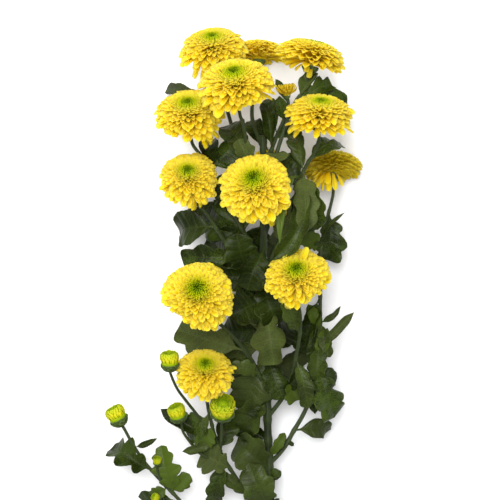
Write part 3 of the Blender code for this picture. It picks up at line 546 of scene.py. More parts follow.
def spiral(count, tips, draw):
    """Reach, height and slopes of florets on a spiral that turns by the golden angle. A floret
    takes a share of the way along the tips' profile in proportion to its own reach, so its
    neighbours keep their shape from the rim to the middle."""
    table = np.array(tips, dtype=float).T
    way = np.linspace(0, 1, 400)
    done = np.cumsum(1.0 / np.interp(way, table[0], table[1]))
    at = np.interp((np.arange(count) + 0.5) / count, done / done[-1], way)
    reach, height, leave, end = (np.interp(at, table[0], row) for row in table[1:])
    turn = GOLDEN_TURN * np.arange(count) + draw.normal(0, 0.035, count)
    return at, turn, reach, height, np.radians(leave), np.radians(end)


def full_bloom(settings, name, tips, count, axis, seed):
    """A bloom's florets. Those that point down the stem, where the flower grew upright, hang
    lower, scoop deeper and lie less evenly, and those that point up it lie flat on the dome.
    pull is the part of that weight along each floret's own reach. LOPSIDED makes some of the
    bloom's sides reach further, and the florets of one in FUNNELS get a tone over 1, which the
    material darkens all over as painted shade."""
    draw = np.random.default_rng(seed)
    at, turn, reach, height, leave, end = spiral(count, tips, draw)
    own = flower_axes(axis)
    pull = -(np.cos(turn) * own[0, 1] + np.sin(turn) * own[1, 1])
    hang = 0.5 + 0.5 * pull
    sunk = np.maximum(pull, 0)
    outer = 1.0 - at
    lumps = (0.03 * np.sin(2 * turn + draw.uniform(0, TAU))
             + 0.025 * np.sin(3 * turn + draw.uniform(0, TAU)))
    rough = settings.ragged * outer * (0.4 + 1.1 * hang)
    toward = np.arctan2(-pull, np.cos(turn) * own[0, 0] + np.sin(turn) * own[1, 0])
    for direction, spread, amount in LOPSIDED.get(name, ()):
        off = (toward - math.radians(direction) + math.pi) % TAU - math.pi
        lumps = lumps + amount * bell(off, 0, math.radians(spread))
    reach = (reach * (1 + draw.normal(0, 0.5, count) * rough + outer * lumps)
             + outer * (0.05 * sunk - 0.02))
    height = (height + draw.normal(0, 0.35, count) * rough
              - outer * (0.05 * own[2, 1] * hang + 0.12 * sunk))
    pocket = bell(at, 0.62, 0.09) * ease(0.62, 0.9, hang)
    reach = reach * (1 - 0.12 * pocket * draw.random(count))
    flat = np.radians(38) * (1 - hang) * np.sin(math.pi * np.clip(at * 1.15, 0, 1))
    sag = np.radians(22) * outer ** 2 * np.maximum(own[2, 1] * 0.4 + 0.6 * pull, 0)
    base = np.stack((0.17 - 0.08 * at, -0.04 + 0.2 * at), axis=1)
    width = (settings.floret_width * (reach + 0.15) * (1 + 0.2 * outer ** 2)
             * draw.uniform(0.88, 1.12, count))
    return florets(
        RAY, turn, base, np.stack((reach, height), axis=1), leave,
        end - flat - sag + draw.normal(0, 1.8, count) * rough, width,
        draw.uniform(0.45, 0.75, count) * (0.2 + 1.1 * hang), settings.floret_thickness,
        draw.normal(0, 0.05, count), draw.normal(0, 0.14, count) * (0.4 + 0.8 * hang),
        at, draw.uniform(0, 0.98, count) + float(name in FUNNELS))


def stray_florets(name, middle, radius, axis):
    """Long florets whose tips end at given places, worked out in the bloom's own frame."""
    rows = STRAY_FLORETS[name]
    tips = np.array([spot for spot, _ in rows], dtype=float)
    spots = (tips - middle) @ flower_axes(axis).T / radius
    count = len(rows)
    draw = np.random.default_rng(len(name) + count)
    tip = np.stack((np.hypot(spots[:, 0], spots[:, 1]), spots[:, 2]), axis=1)
    base = np.tile((0.16, 0.0), (count, 1))
    lean = np.arctan2(tip[:, 1] - base[:, 1], tip[:, 0] - base[:, 0])
    return florets(
        RAY, np.arctan2(spots[:, 1], spots[:, 0]), base, tip, lean + 0.5, lean - 0.25,
        np.array([width for _, width in rows]) / radius, np.full(count, 0.6), 0.012,
        draw.normal(0, 0.03, count), draw.normal(0, 0.3, count), np.full(count, 0.15),
        draw.random(count))


def eye_florets(count, reach, height, seed):
    """Unopened florets of an eye: short rounded nubs on a spiral that lean in to the middle,
    where they are shortest, so the eye has a small hollow."""
    draw = np.random.default_rng(seed)
    share = np.sqrt((np.arange(count) + 0.5) / count)[::-1]
    turn = GOLDEN_TURN * np.arange(count) + draw.normal(0, 0.05, count)
    lift = height * (1 - 0.1 * share ** 3 - 0.16 * bell(share, 0, 0.32))
    base = np.stack((reach * share, lift - 0.2), axis=1)
    tip = np.stack((reach * (share * 0.98 - 0.08), lift + draw.normal(0, 0.008, count)), axis=1)
    width = reach * (0.13 + 0.13 * share)
    return florets(
        NUB, turn, base, tip, 1.35 + 0.2 * (1 - share), 2.0 + 0.5 * (1 - share),
        width, np.full(count, 0.25), 0.3 * width[0],
        draw.normal(0, 0.05, count), draw.normal(0, 0.15, count), 2.0 - share, draw.random(count))


def bud_florets(radius, seed):
    """Closed florets of a bud, whose tips lean in over the middle."""
    draw = np.random.default_rng(seed)
    count = int(70 + 8 * radius)
    at, turn, reach, height, leave, end = spiral(count, BUD_TIPS, draw)
    base = np.stack((0.72 - 0.3 * at, -0.45 + 0.45 * at), axis=1)
    tip = np.stack((reach, height), axis=1) + draw.normal(0, 0.02, (count, 2))
    return florets(
        RAY, turn, base, tip, leave, end, 0.38 * (reach + 0.1), np.full(count, 0.02), 0.02,
        draw.normal(0, 0.03, count), draw.normal(0, 0.05, count), 0.8 * at, draw.random(count))


def cup_bracts(profile, per_row, seed):
    """Overlapping bracts on a green cup: each row's tips reach a little higher up the profile."""
    draw = np.random.default_rng(seed)
    table = np.array(profile, dtype=float)
    count = CUP_ROWS * per_row
    row = np.repeat(np.arange(CUP_ROWS), per_row)
    top = (row + 1.0) / CUP_ROWS * 0.85 + 0.2 + draw.normal(0, 0.02, count)
    way = np.linspace(0, 1, len(table))
    tip, base = (np.stack([np.interp(at, way, column) for column in table.T], axis=1) * (wide, 1.0)
                 for at, wide in ((top, 1.05), (np.maximum(top - 0.62, 0), 0.85)))
    lean = np.arctan2(tip[:, 1] - base[:, 1], tip[:, 0] - base[:, 0])
    turn = (TAU * (np.arange(count) % per_row + 0.5 * (row % 2)) / per_row
            + draw.normal(0, 0.04, count))
    return florets(
        NUB, turn, base, tip, lean - 0.35, lean + 0.3, TAU * tip[:, 0] / per_row * 1.25,
        np.full(count, -0.3), 0.03 * tip[:, 0].max(), draw.normal(0, 0.02, count),
        draw.normal(0, 0.05, count), np.zeros(count), draw.random(count))


def revolve(reach, height, sides):
    """Rings of a profile turned round the flower's axis."""
    angle = TAU * np.arange(sides) / sides
    reach = reach[:, None]
    return triples(reach * np.cos(angle), reach * np.sin(angle), height[:, None])[None]


def heart(reach, low, high, along, ring):
    """Smooth plug inside a flower, a half ellipse turned round the axis, that closes the view
    between the florets. It is coloured like a floret's place along and like its ring."""
    rise = np.linspace(0, 0.5 * math.pi, 6)
    profile = reach * np.append(0.5, np.cos(rise * 0.96))
    height = low + (high - low) * np.append(0.0, np.sin(rise))
    return revolve(profile, height, 16), (along, 0.0, 0.5), (ring, 0.0, 0.0)


def cup_skins(profile, per_row, seed, spot):
    """Skins of a green cup, its profile of (reach, height) turned round the axis, and its bracts."""
    table = np.array(profile, dtype=float)
    way = np.linspace(0, len(table) - 1, (len(table) - 1) * 4 + 1)
    reach, height = (np.interp(way, np.arange(len(table)), column) for column in table.T)
    cup = revolve(reach, height, 24), (0.5, 0.0, 0.3), (0.0, 0.0, 0.0)
    return [flower_skin(batch, spot, 2) for batch in (cup, cup_bracts(profile, per_row, seed))]


def stalk(route, radii, sides, ridges, ridge, collars, cut_end=False):
    """Ridged stalk along a route: the point at length s and angle a is
    c(s) + r(s) (1 + ridge cos(ridges a)) (cos a n(s) + sin a b(s)), where r tapers evenly and
    swells by a fifth at each collar, and n and b stand square to the route. A cut end is closed
    by rings that shrink to its middle."""
    tangent = unit(np.gradient(route, axis=0))
    normal = unit(np.cross(tangent, (1.0, 0.04, 0.02)))
    binormal = np.cross(tangent, normal)
    length = np.append(0, np.cumsum(np.linalg.norm(np.diff(route, axis=0), axis=1)))
    radius = radii[0] + (radii[1] - radii[0]) * length / length[-1]
    near = np.zeros(len(length))
    if len(collars):
        gaps = np.linalg.norm(route[:, None] - np.asarray(collars, dtype=float)[None], axis=2)
        near = bell(gaps, 0, 1.1 * radius[:, None]).max(axis=1)
    radius = radius * (1 + 0.22 * near)
    angle = TAU * np.arange(sides)[None, :] / sides
    size = radius[:, None] * (1 + ridge * np.cos(ridges * angle))
    ring = np.cos(angle)[..., None] * normal[:, None] + np.sin(angle)[..., None] * binormal[:, None]
    rings = route[:, None] + size[..., None] * ring
    coat = triples(length[:, None], angle, near[:, None])
    kind = triples(np.ones((len(route), 1)), radius[:, None], np.zeros(1))
    if cut_end:
        shares = np.array(CUT_SHARES)[:, None, None]
        middle = rings[:1].mean(axis=1, keepdims=True)
        inner = np.repeat(kind[:1], len(shares), axis=0)
        inner[..., 0], inner[..., 2] = shares[..., 0], 1.0
        rings = np.concatenate((middle + shares * (rings[:1] - middle), rings))
        coat = np.concatenate((np.repeat(coat[:1], len(shares), axis=0), coat))
        kind = np.concatenate((inner, kind))
    return rings[None], coat[None], kind[None]


def leaf_share(outline, t):
    """Half width along the midrib. Between two knots it follows a quarter sine wave that is
    level at the wider knot, so lobes are round and the notches between them are sharp."""
    knots = np.array(LEAF_OUTLINES[outline], dtype=float)
    span = np.clip(np.searchsorted(knots[:, 0], t, side="right") - 1, 0, len(knots) - 2)
    low, high = knots[span], knots[span + 1]
    x = 0.5 * math.pi * (t - low[:, 0]) / (high[:, 0] - low[:, 0])
    grow = low[:, 1] + (high[:, 1] - low[:, 1]) * np.sin(x)
    fall = high[:, 1] + (low[:, 1] - high[:, 1]) * np.cos(x)
    return np.where(high[:, 1] > low[:, 1], grow, fall)


def leaf(settings, root, tip, width, face, arch, outline, seed, pale_up, youth_and_shade):
    """Lobed blade on a midrib that is a quadratic curve from root over a crown to the tip. Across
    the rib each side is an arc of its own bend: at v in -1..1 a point lies
    half sin(bend |v|) / bend sideways and half (1 - cos(bend |v|)) / bend up, where half is the
    half width at that place along. A wave of the edge and small swells between the side veins
    are added, lobes lean forward and the stalk's end is thicker. The last argument is -1 for a
    bright young leaf, 1 for one painted dark all over as shade and 0 for the others."""
    draw = np.random.default_rng(seed)
    root, tip = np.asarray(root, dtype=float), np.asarray(tip, dtype=float)
    length = np.linalg.norm(tip - root)
    chord = (tip - root) / length
    face = unit(np.asarray(face, dtype=float) - chord * chord.dot(face))
    bow = np.cross(chord, face) * draw.normal(0, 0.05) * length
    crown = (root + tip) / 2 + face * arch * 2 * length + bow
    t = np.linspace(0, 1, int(np.clip(length / 0.75, 26, 62)))
    cells = 2 * int(np.clip(width / 2.4, 4, 9))
    v = np.concatenate((np.linspace(-1, 1, cells + 1), np.linspace(1, -1, cells + 1)[1:-1]))
    under = np.repeat((0.0, 1.0), (cells + 1, cells - 1))
    T, V = t[:, None], v[None, :]
    flank = np.sign(V)
    rib = (1 - T) ** 2 * root + 2 * T * (1 - T) * crown + T ** 2 * tip
    along = unit((1 - T) * (crown - root) + T * (tip - crown))
    normal = unit(face - along * (along @ face)[:, None])
    side = np.cross(along, normal)
    twist = draw.normal(0, 0.4) * (T - 0.25)
    cos, sin = np.cos(twist), np.sin(twist)
    side, normal = side * cos + normal * sin, normal * cos - side * sin
    blade = ease(0.1, 0.25, T)
    shares = [leaf_share(outline, np.clip(t + 0.08 * draw.normal() * t * (1 - t), 0, 1))
              for _ in range(2)]
    share = np.where(V < 0, shares[0][:, None], shares[1][:, None]) * (0.4 + 0.6 * ease(0.06, 0.2, T))
    teeth = (settings.teeth * np.sin(TAU * 15 * T + draw.uniform(0, TAU) + flank)
             * ease(0.18, 0.3, T) * (1 - ease(0.9, 1, T)))
    half = share * (1 + teeth) * width / 2
    phase = np.interp(t, VEIN_ENDS[outline], np.arange(len(VEIN_ENDS[outline])))[:, None]
    bend = np.where(V < 0, draw.normal(settings.cupping, 0.65), draw.normal(settings.cupping, 0.65))
    bend = blade * (bend + 0.35 * np.sin(TAU * 0.9 * T + draw.uniform(0, TAU) + 0.8 * flank))
    turn = bend * np.abs(V)
    reach = half * V * np.sinc(turn / math.pi)
    lift = half * 0.5 * bend * V ** 2 * np.sinc(0.5 * turn / math.pi) ** 2
    beat = draw.uniform(0, TAU)
    wave = settings.wave * (np.sin(TAU * 1.7 * T + beat + flank)
                            + 0.6 * np.sin(TAU * 4.3 * T + 2 * beat + 2 * flank))
    groove = 0.1 * half * (1 - bell(3 * V, 0, 1))
    swell = (settings.swell * np.sin(math.pi * (phase + VEIN_SLANT * (1 - np.abs(V)))) ** 2
             * np.abs(V) * (1.1 - np.abs(V)))
    droop = -settings.droop * length * draw.uniform(-0.15, 1.0) * ease(0.45, 1.0, T) ** 2
    thick = settings.thickness * (1 + 3.2 * (1 - ease(0.08, 0.24, T))) / 2
    keel = 0.7 * (1 - T) * bell(half * V, 0, 0.8)
    rise = lift + (half * wave * V ** 2 + swell + groove) * blade + droop
    rise = rise + thick * (1 - 2 * under) * (1 - V ** 6) - keel * under
    lean = half * np.abs(V) * settings.lobe_lean
    rings = (rib[:, None] + reach[..., None] * side[:, None] + lean[..., None] * along[:, None]
             + rise[..., None] * normal[:, None])
    pale = 1 - under if pale_up else under
    # A leaf that stands in shade gets a tone near 0, which the material paints dark: painted shade
    tone = draw.uniform(1.5, 1.9) if youth_and_shade < 0 else draw.uniform(0.0, 0.9) * (1 - 0.9 * youth_and_shade)
    kind = triples(pale[None, :], np.full((1, 1), tone), T)
    return rings[None], triples(phase, half * V, np.abs(V))[None], kind[None]


def foliage(settings, name, route, form, seed):
    """Skins of one stalk with its leaves. The main stem also swells where shoots leave it."""
    leaves = [(nearest(route, row[0]),) + row[1:] for row in LEAVES.get(name, ())]
    collars = [row[0] for row in leaves]
    main = name == "main_stem"
    if main:
        collars += [way[0] for way in SHOOT_ROUTES.values()]
    skins = [skin(*stalk(smooth_route(route), *form, settings.ridge, collars, cut_end=main))]
    for k, row in enumerate(leaves):
        key = (name, k)
        # 1 for a leaf painted dark all over as shade, -1 for a bright young one, 0 for the rest
        youth_and_shade = (key in SHADE_DARKENED_LEAVES) - (key in YOUNG_LEAVES)
        skins.append(skin(*leaf(settings, *row, seed + k, key in PALE_SIDE_UP, youth_and_shade), material=1))
    return skins


def rgba(colour, factor=1.0):
    """Opaque colour for a shader's socket, made brighter or darker by a factor."""
    return (colour[0] * factor, colour[1] * factor, colour[2] * factor, 1.0)


class Painter:
    """Adds nodes to one tree under short names, and returns their outputs."""

    def __init__(self, tree):
        self.tree = tree

    def put(self, kind, values=(), **settings):
        """Adds a node and returns it. values gives each input by name or place: a number, a
        colour or a socket."""
        made = self.tree.nodes.new(kind)
        for key, value in settings.items():
            setattr(made, key, value)
        for key, value in dict(values).items():
            if isinstance(value, bpy.types.NodeSocket):
                self.tree.links.new(value, made.inputs[key])
            else:
                made.inputs[key].default_value = value
        return made

    def math(self, operation, a, b=0.0):
        return self.put("ShaderNodeMath", {0: a, 1: b}, operation=operation).outputs[0]

    def plus(self, a, b):
        return self.math("ADD", a, b)

    def times(self, a, b):
        return self.math("MULTIPLY", a, b)

    def ramp(self, value, low, high, start=0.0, stop=1.0):
        """Smooth change from start to stop while value goes from low to high."""
        values = {"Value": value, "From Min": low, "From Max": high, "To Min": start, "To Max": stop}
        return self.put("ShaderNodeMapRange", values, interpolation_type="SMOOTHSTEP").outputs[0]

    def mix(self, share, first, second):
        return self.put("ShaderNodeMix", {0: share, 6: first, 7: second}, data_type="RGBA").outputs[2]

    def coats(self, base, *layers):
        """Colour with layers laid over it in order, each a share and a colour."""
        for share, colour in layers:
            base = self.mix(share, base, colour)
        return base

    def place(self, x, y):
        return self.put("ShaderNodeCombineXYZ", {0: x, 1: y, 2: 0.0}).outputs[0]

    def noise(self, place, scale, detail):
        values = {"Vector": place, "Scale": scale, "Detail": detail}
        return self.put("ShaderNodeTexNoise", values).outputs[0]

    def triple(self, name):
        """The three numbers of a point that a mesh keeps under a name."""
        vector = self.put("ShaderNodeAttribute", attribute_name=name).outputs["Vector"]
        return self.put("ShaderNodeSeparateXYZ", {0: vector}).outputs

    def mottle(self, broad, fine):
        """Uneven tone and fine grain of a plant, at two scales of noise."""
        made = self.put("ShaderNodeGroup", node_tree=mottle_group())
        made.inputs["Broad"].default_value = broad
        made.inputs["Fine"].default_value = fine
        return made.outputs["Tone"], made.outputs["Grain"]


def mottle_group():
    """Node group that gives plants their uneven tone: a broad and a fine noise in Object
    coordinates, added and centred on a half."""
    group = bpy.data.node_groups.get("plant_mottle")
    if group:
        return group
    group = bpy.data.node_groups.new("plant_mottle", "ShaderNodeTree")
    for name, side, default in (("Broad", "INPUT", 90.0), ("Fine", "INPUT", 900.0),
                                ("Tone", "OUTPUT", 0.0), ("Grain", "OUTPUT", 0.0)):
        socket = group.interface.new_socket(name=name, in_out=side, socket_type="NodeSocketFloat")
        socket.default_value = default
    paint = Painter(group)
    entry, leave = paint.put("NodeGroupInput"), paint.put("NodeGroupOutput")
    place = paint.put("ShaderNodeTexCoord").outputs["Object"]
    broad, fine = (paint.noise(place, entry.outputs[name], detail)
                   for name, detail in (("Broad", 3.0), ("Fine", 2.0)))
    tone = paint.ramp(paint.times(paint.plus(broad, fine), 0.5), 0.3, 0.7)
    group.links.new(tone, leave.inputs["Tone"])
    group.links.new(fine, leave.inputs["Grain"])
    return group


def plant_material(name, make_colour, bump, glow, gloss, soft=0.0):
    """Material of one plant tissue. make_colour fills the tree and returns the colour, roughness
    and relief. glow is the share of light that passes through, and soft how far it scatters."""
    material = bpy.data.materials.get(name)
    if material:
        return material
    material = bpy.data.materials.new(name)
    material.use_nodes = True
    material.node_tree.nodes.clear()
    paint = Painter(material.node_tree)
    colour, rough, relief = make_colour(paint)
    normal = paint.put("ShaderNodeBump", {"Height": relief, "Distance": bump, "Strength": 1.0}).outputs[0]
    body = paint.put("ShaderNodeBsdfPrincipled", {
        "Base Color": colour, "Normal": normal, "Roughness": rough, "Specular IOR Level": gloss,
        "Subsurface Weight": soft, "Subsurface Radius": (1.0, 0.95, 0.3), "Subsurface Scale": 0.0018})
    through = paint.put("ShaderNodeBsdfTranslucent", {"Color": colour, "Normal": normal})
    both = paint.put("ShaderNodeMixShader", {0: glow, 1: body.outputs[0], 2: through.outputs[0]})
    paint.put("ShaderNodeOutputMaterial", {"Surface": both.outputs[0]})
    return material


def petal_material(settings):
    """Yellow florets: golden where they leave the middle, a colour that also stands as painted shade
    deep between the florets, lemon over most of their length and palest at the round tip, greener in
    the innermost rings, with fine grooves along them. Their undersides get painted shade, and a floret
    whose tone is over 1 is darkened all over as painted shade."""
    def colour(paint):
        along, across, tone = paint.triple("coat")
        ring, under, _ = paint.triple("kind")
        broad, grain = paint.mottle(220.0, 1800.0)
        deep, main, tip, lime, eye = (rgba(shade) for shade in (
            settings.golden_and_shade_colour, settings.petal_colour, settings.tip_colour, settings.lime_colour,
            settings.eye_colour))
        rim = paint.ramp(paint.math("ABSOLUTE", across), 0.45, 1.0)
        uneven = paint.times(paint.math("FRACT", tone), 0.5)
        base = paint.coats(
            # Golden at the florets' base, a colour that is also painted shade deep between the florets
            deep,
            (paint.ramp(along, 0.45, 0.92), main),
            (paint.ramp(along, 0.82, 1.0, 0.0, 0.8), tip),
            (paint.times(rim, paint.ramp(along, 0.4, 0.8, 0.0, 0.55)), tip),
            # Painted shade: the florets' undersides are darkened towards the golden shade colour
            (paint.times(under, 0.4), deep),
            # Painted shade: florets whose tone is over 1, those of a bloom in FUNNELS, are darkened all
            # over
            (paint.ramp(tone, 0.99, 1.0, 0.0, 0.5), rgba(settings.golden_and_shade_colour, 0.55)),
            (paint.times(uneven, broad), tip),
            (paint.ramp(ring, 0.74, 1.2), paint.mix(paint.ramp(ring, 1.05, 1.75), lime, eye)))
        groove = paint.math("COSINE", paint.times(across, 11.0))
        rough = paint.ramp(broad, 0.0, 1.0, 0.5, 0.68)
        return base, rough, paint.plus(paint.times(groove, 0.5), grain)
    return plant_material("florets_yellow", colour, 0.00008, 0.55, 0.1, 0.6)


def leaf_material(settings):
    """Green blades: darker between the veins on top, pale and matt below, with side veins that
    leave the midrib at its phase counts and a net of small veins between them. Leaves near the
    table are darker, because little light falls there."""
    def colour(paint):
        phase, span, edge = paint.triple("coat")
        under, tone, _ = paint.triple("kind")
        broad, grain = paint.mottle(55.0, 1500.0)
        inward = paint.math("SUBTRACT", 1.0, edge)
        count = paint.plus(phase, paint.times(inward, VEIN_SLANT))
        part = paint.math("FRACT", paint.plus(count, 0.5))
        off = paint.math("ABSOLUTE", paint.math("SUBTRACT", part, 0.5))
        side_vein = paint.times(
            paint.ramp(off, 0.0, 0.13, 1.0, 0.0), paint.ramp(edge, 0.6, 1.0, 1.0, 0.35))
        midrib = paint.ramp(paint.math("ABSOLUTE", span), 0.15, 0.75, 1.0, 0.0)
        vein = paint.math("MAXIMUM", midrib, side_vein)
        cells = paint.place(paint.times(phase, 5.0), span)
        net = paint.put("ShaderNodeTexVoronoi", {"Vector": cells, "Scale": 0.55},
                        feature="DISTANCE_TO_EDGE")
        net_vein = paint.ramp(net.outputs["Distance"], 0.0, 0.12, 1.0, 0.0)
        patch = paint.ramp(broad, 0.36, 0.64)
        green, pale, young, line = (
            settings.leaf_colour, settings.under_colour, settings.young_colour, settings.vein_colour)
        top = paint.coats(
            paint.mix(patch, rgba(green, 0.42), rgba(green, 2.0)),
            # Leaves of low tone go nearly black: a random tone for some, and painted shade for the listed
            # leaves that lie in shadow
            (paint.ramp(tone, 0.0, 0.35, 0.75, 0.0), rgba(green, 0.35)),
            # Painted sheen: some leaves, at random, take on the grey-green of the underside
            (paint.ramp(tone, 0.5, 0.9, 0.0, 0.55), rgba(pale)),
            (paint.ramp(tone, 0.9, 1.9, 0.0, 0.85), rgba(young)),
            (paint.times(vein, 0.2), rgba(line)),
            # Painted highlight: a pale rim along the leaf's edge
            (paint.ramp(edge, 0.9, 1.0, 0.0, 0.5), rgba(line, 1.3)),
            (paint.times(net_vein, 0.1), rgba(line)))
        below = paint.coats(
            paint.mix(patch, rgba(pale, 0.75), rgba(pale, 1.2)), (paint.times(vein, 0.3), rgba(line, 1.3)))
        place = paint.put("ShaderNodeTexCoord").outputs["Object"]
        height = paint.put("ShaderNodeSeparateXYZ", {0: place}).outputs[2]
        shade = paint.ramp(height, *SHADED_HEIGHTS, 0.55, 0.0)
        base = paint.coats(top, (under, below), (shade, rgba(green, 0.3)))
        relief = paint.plus(vein, paint.times(net_vein, 0.25))
        signed = paint.times(relief, paint.math("SUBTRACT", paint.times(under, 2.0), 1.0))
        rough = paint.ramp(paint.plus(paint.times(broad, 0.3), under), 0.0, 1.0, 0.32, 0.6)
        return base, rough, paint.plus(signed, paint.times(grain, 0.25))
    return plant_material("leaf_blade", colour, 0.00012, 0.12, 0.12)


def stalk_material(settings):
    """Ridged stalks: paler at the nodes, with fine pale streaks along them. The cut end
    shows a pale pith inside a green rim."""
    def colour(paint):
        length, angle, near = paint.triple("coat")
        share, radius, cut = paint.triple("kind")
        broad, grain = paint.mottle(120.0, 1200.0)
        place = paint.place(paint.times(length, 0.12), paint.times(angle, 3.0))
        streak = paint.noise(place, 2.2, 2.0)
        stem, shoot = settings.stem_colour, settings.shoot_colour
        bark = paint.coats(
            paint.mix(paint.ramp(radius, 1.6, 3.0), rgba(shoot), rgba(stem)),
            (paint.ramp(streak, 0.35, 0.7, 0.0, 0.45), rgba(shoot, 1.4)),
            (paint.times(near, 0.5), rgba(shoot, 1.6)),
            (paint.times(broad, 0.3), rgba(stem, 0.6)))
        pith = paint.mix(paint.ramp(share, 0.55, 0.85), rgba(settings.pith_colour), rgba(shoot, 2.2))
        return paint.mix(cut, bark, pith), 0.5, paint.plus(streak, paint.times(grain, 0.4))
    return plant_material("stalk_skin", colour, 0.0002, 0.03, 0.25)


def bract_material(settings):
    """Cups of green bracts, each with a dry pale edge, in dark and lighter greens that vary in broad
    patches.
    """
    def colour(paint):
        along, across, tone = paint.triple("coat")
        broad, grain = paint.mottle(260.0, 1800.0)
        edge = paint.ramp(paint.math("ABSOLUTE", across), 0.7, 1.0, 0.0, 0.5)
        rim = paint.math("MAXIMUM", edge, paint.ramp(along, 0.88, 1.0, 0.0, 0.6))
        base = paint.coats(
            paint.mix(broad, rgba(settings.cup_colour, 0.9), rgba(settings.bract_colour, 1.1)),
            (paint.times(tone, 0.4), rgba(settings.young_bract_colour)),
            (rim, rgba(settings.edge_colour, 1.5)))
        return base, 0.6, grain
    return plant_material("cup_bracts", colour, 0.00015, 0.05, 0.25)


def bud_material(settings):
    """Closed florets of a bud: green where they are shut in, yellow where they open."""
    def colour(paint):
        along, across, _ = paint.triple("coat")
        ring = paint.triple("kind")[0]
        broad, grain = paint.mottle(260.0, 1800.0)
        eye = settings.eye_colour
        base = paint.coats(
            paint.mix(paint.ramp(ring, 0.0, 1.0), rgba(settings.lime_colour), rgba(eye, 1.3)),
            (paint.ramp(ring, 0.5, -0.2, 0.0, 0.6), rgba(settings.petal_colour)),
            (paint.ramp(along, 0.6, 1.0, 0.0, 0.2), rgba(settings.tip_colour)),
            (paint.ramp(along, 0.75, 0.3, 0.0, 0.55), rgba(eye, 1.1)),
            (paint.times(broad, 0.25), rgba(eye)))
        groove = paint.math("COSINE", paint.times(across, 9.0))
        return base, 0.6, paint.plus(paint.times(groove, 0.4), grain)
    return plant_material("bud_florets", colour, 0.0001, 0.4, 0.15)


def number_prop(name, description, default, low, high, **more):
    """Number in the panel, between its limits."""
    return bpy.props.FloatProperty(
        name=name, description=description, default=default, min=low, max=high, **more)


def share_prop(name, description, default, low, high):
    """Number in the panel that is a share of another size."""
    return number_prop(name, description, default, low, high, subtype="FACTOR")


def count_prop(name, description, default, low, high):
    """Whole number in the panel."""
    return bpy.props.IntProperty(
        name=name, description=description, default=default, min=low, max=high)


def colour_prop(name, description, default):
    """Colour in the panel."""
    return bpy.props.FloatVectorProperty(
        name=name, description=description, default=default, size=3, subtype="COLOR", min=0.0, max=1.0)


class BloomSettings(bpy.types.PropertyGroup):
    """Sizes and colours of the blooms and buds."""
    florets: count_prop("Florets", "Florets in a full bloom", 330, 60, 500)
    eye_florets: count_prop("Eye Florets", "Unopened florets in an eye", 100, 12, 160)
    floret_width: share_prop(
        "Floret Width", "Width of a floret as a share of its tip's reach", 0.205, 0.1, 0.5)
    floret_thickness: share_prop(
        "Floret Thickness", "Thickness of a floret as a share of the bloom's radius", 0.014, 0.005, 0.05)
    ragged: share_prop("Raggedness", "How uneven the florets of the rim are", 0.1, 0.0, 0.3)
    petal_colour: colour_prop("Petal Colour", "Colour of most of a floret", (0.96, 0.81, 0.006))
    tip_colour: colour_prop("Tip Colour", "Paler colour at a floret's tip", (0.98, 0.87, 0.1))
    # Golden colour of the florets' base, also used as painted shade between the florets, on their
    # undersides and over a bloom in FUNNELS
    golden_and_shade_colour: colour_prop("Deep Colour", "Golden colour deep between the florets", (0.95, 0.7, 0.002))
    lime_colour: colour_prop("Lime Colour", "Yellow-green of the inner florets", (0.74, 0.75, 0.008))
    eye_colour: colour_prop("Eye Colour", "Green of the unopened florets", (0.33, 0.49, 0.006))
    cup_colour: colour_prop("Cup Colour", "Dark green of the bracts' backs", (0.035, 0.06, 0.012))
    bract_colour: colour_prop("Bract Colour", "Lighter green of the bracts", (0.08, 0.12, 0.02))
    young_bract_colour: colour_prop(
        "Young Bract Colour", "Yellow-green of some bracts", (0.13, 0.18, 0.015))
    edge_colour: colour_prop("Bract Edge Colour", "Dry pale edge of the bracts", (0.12, 0.17, 0.08))


class FoliageSettings(bpy.types.PropertyGroup):
    """Sizes and colours of the leaves and stalks."""
    thickness: number_prop("Blade Thickness", "Thickness of a leaf in millimetres", 0.4, 0.1, 1.5)
    cupping: number_prop(
        "Cupping", "Mean angle that each half of a leaf bends up through, in radians", 0.5, -1.5, 1.5)
    swell: number_prop(
        "Swell", "How far a leaf swells between its side veins, in millimetres", 0.7, 0.0, 3.0)
    droop: share_prop(
        "Droop", "How far a leaf's tip hangs down, as a share of its length", 0.2, 0.0, 0.5)
    wave: share_prop(
        "Edge Wave", "Height of the waves of a leaf's edge, as a share of its half width", 0.12, 0.0, 0.4)
    teeth: share_prop(
        "Teeth", "Depth of the small teeth round the lobes, as a share of the half width", 0.012, 0.0, 0.2)
    lobe_lean: share_prop(
        "Lobe Lean", "How far lobes lean towards the leaf's tip, as a share of the half width",
        0.16, 0.0, 0.6)
    ridge: share_prop("Ridge Depth", "Depth of a stalk's ridges as a share of its radius", 0.05, 0.0, 0.2)
    leaf_colour: colour_prop("Leaf Colour", "Green of the upper side", (0.021, 0.034, 0.0035))
    young_colour: colour_prop("Young Leaf Colour", "Yellower green of some leaves", (0.075, 0.12, 0.009))
    vein_colour: colour_prop("Vein Colour", "Pale green of the veins", (0.062, 0.09, 0.015))
    under_colour: colour_prop("Underside Colour", "Greyish green of the lower side", (0.06, 0.078, 0.018))
    stem_colour: colour_prop("Stem Colour", "Dark green of the main stem", (0.008, 0.0115, 0.003))
    shoot_colour: colour_prop("Shoot Colour", "Lighter green of the side shoots", (0.026, 0.039, 0.008))
    pith_colour: colour_prop("Pith Colour", "Pale middle of the cut end", (0.55, 0.6, 0.36))


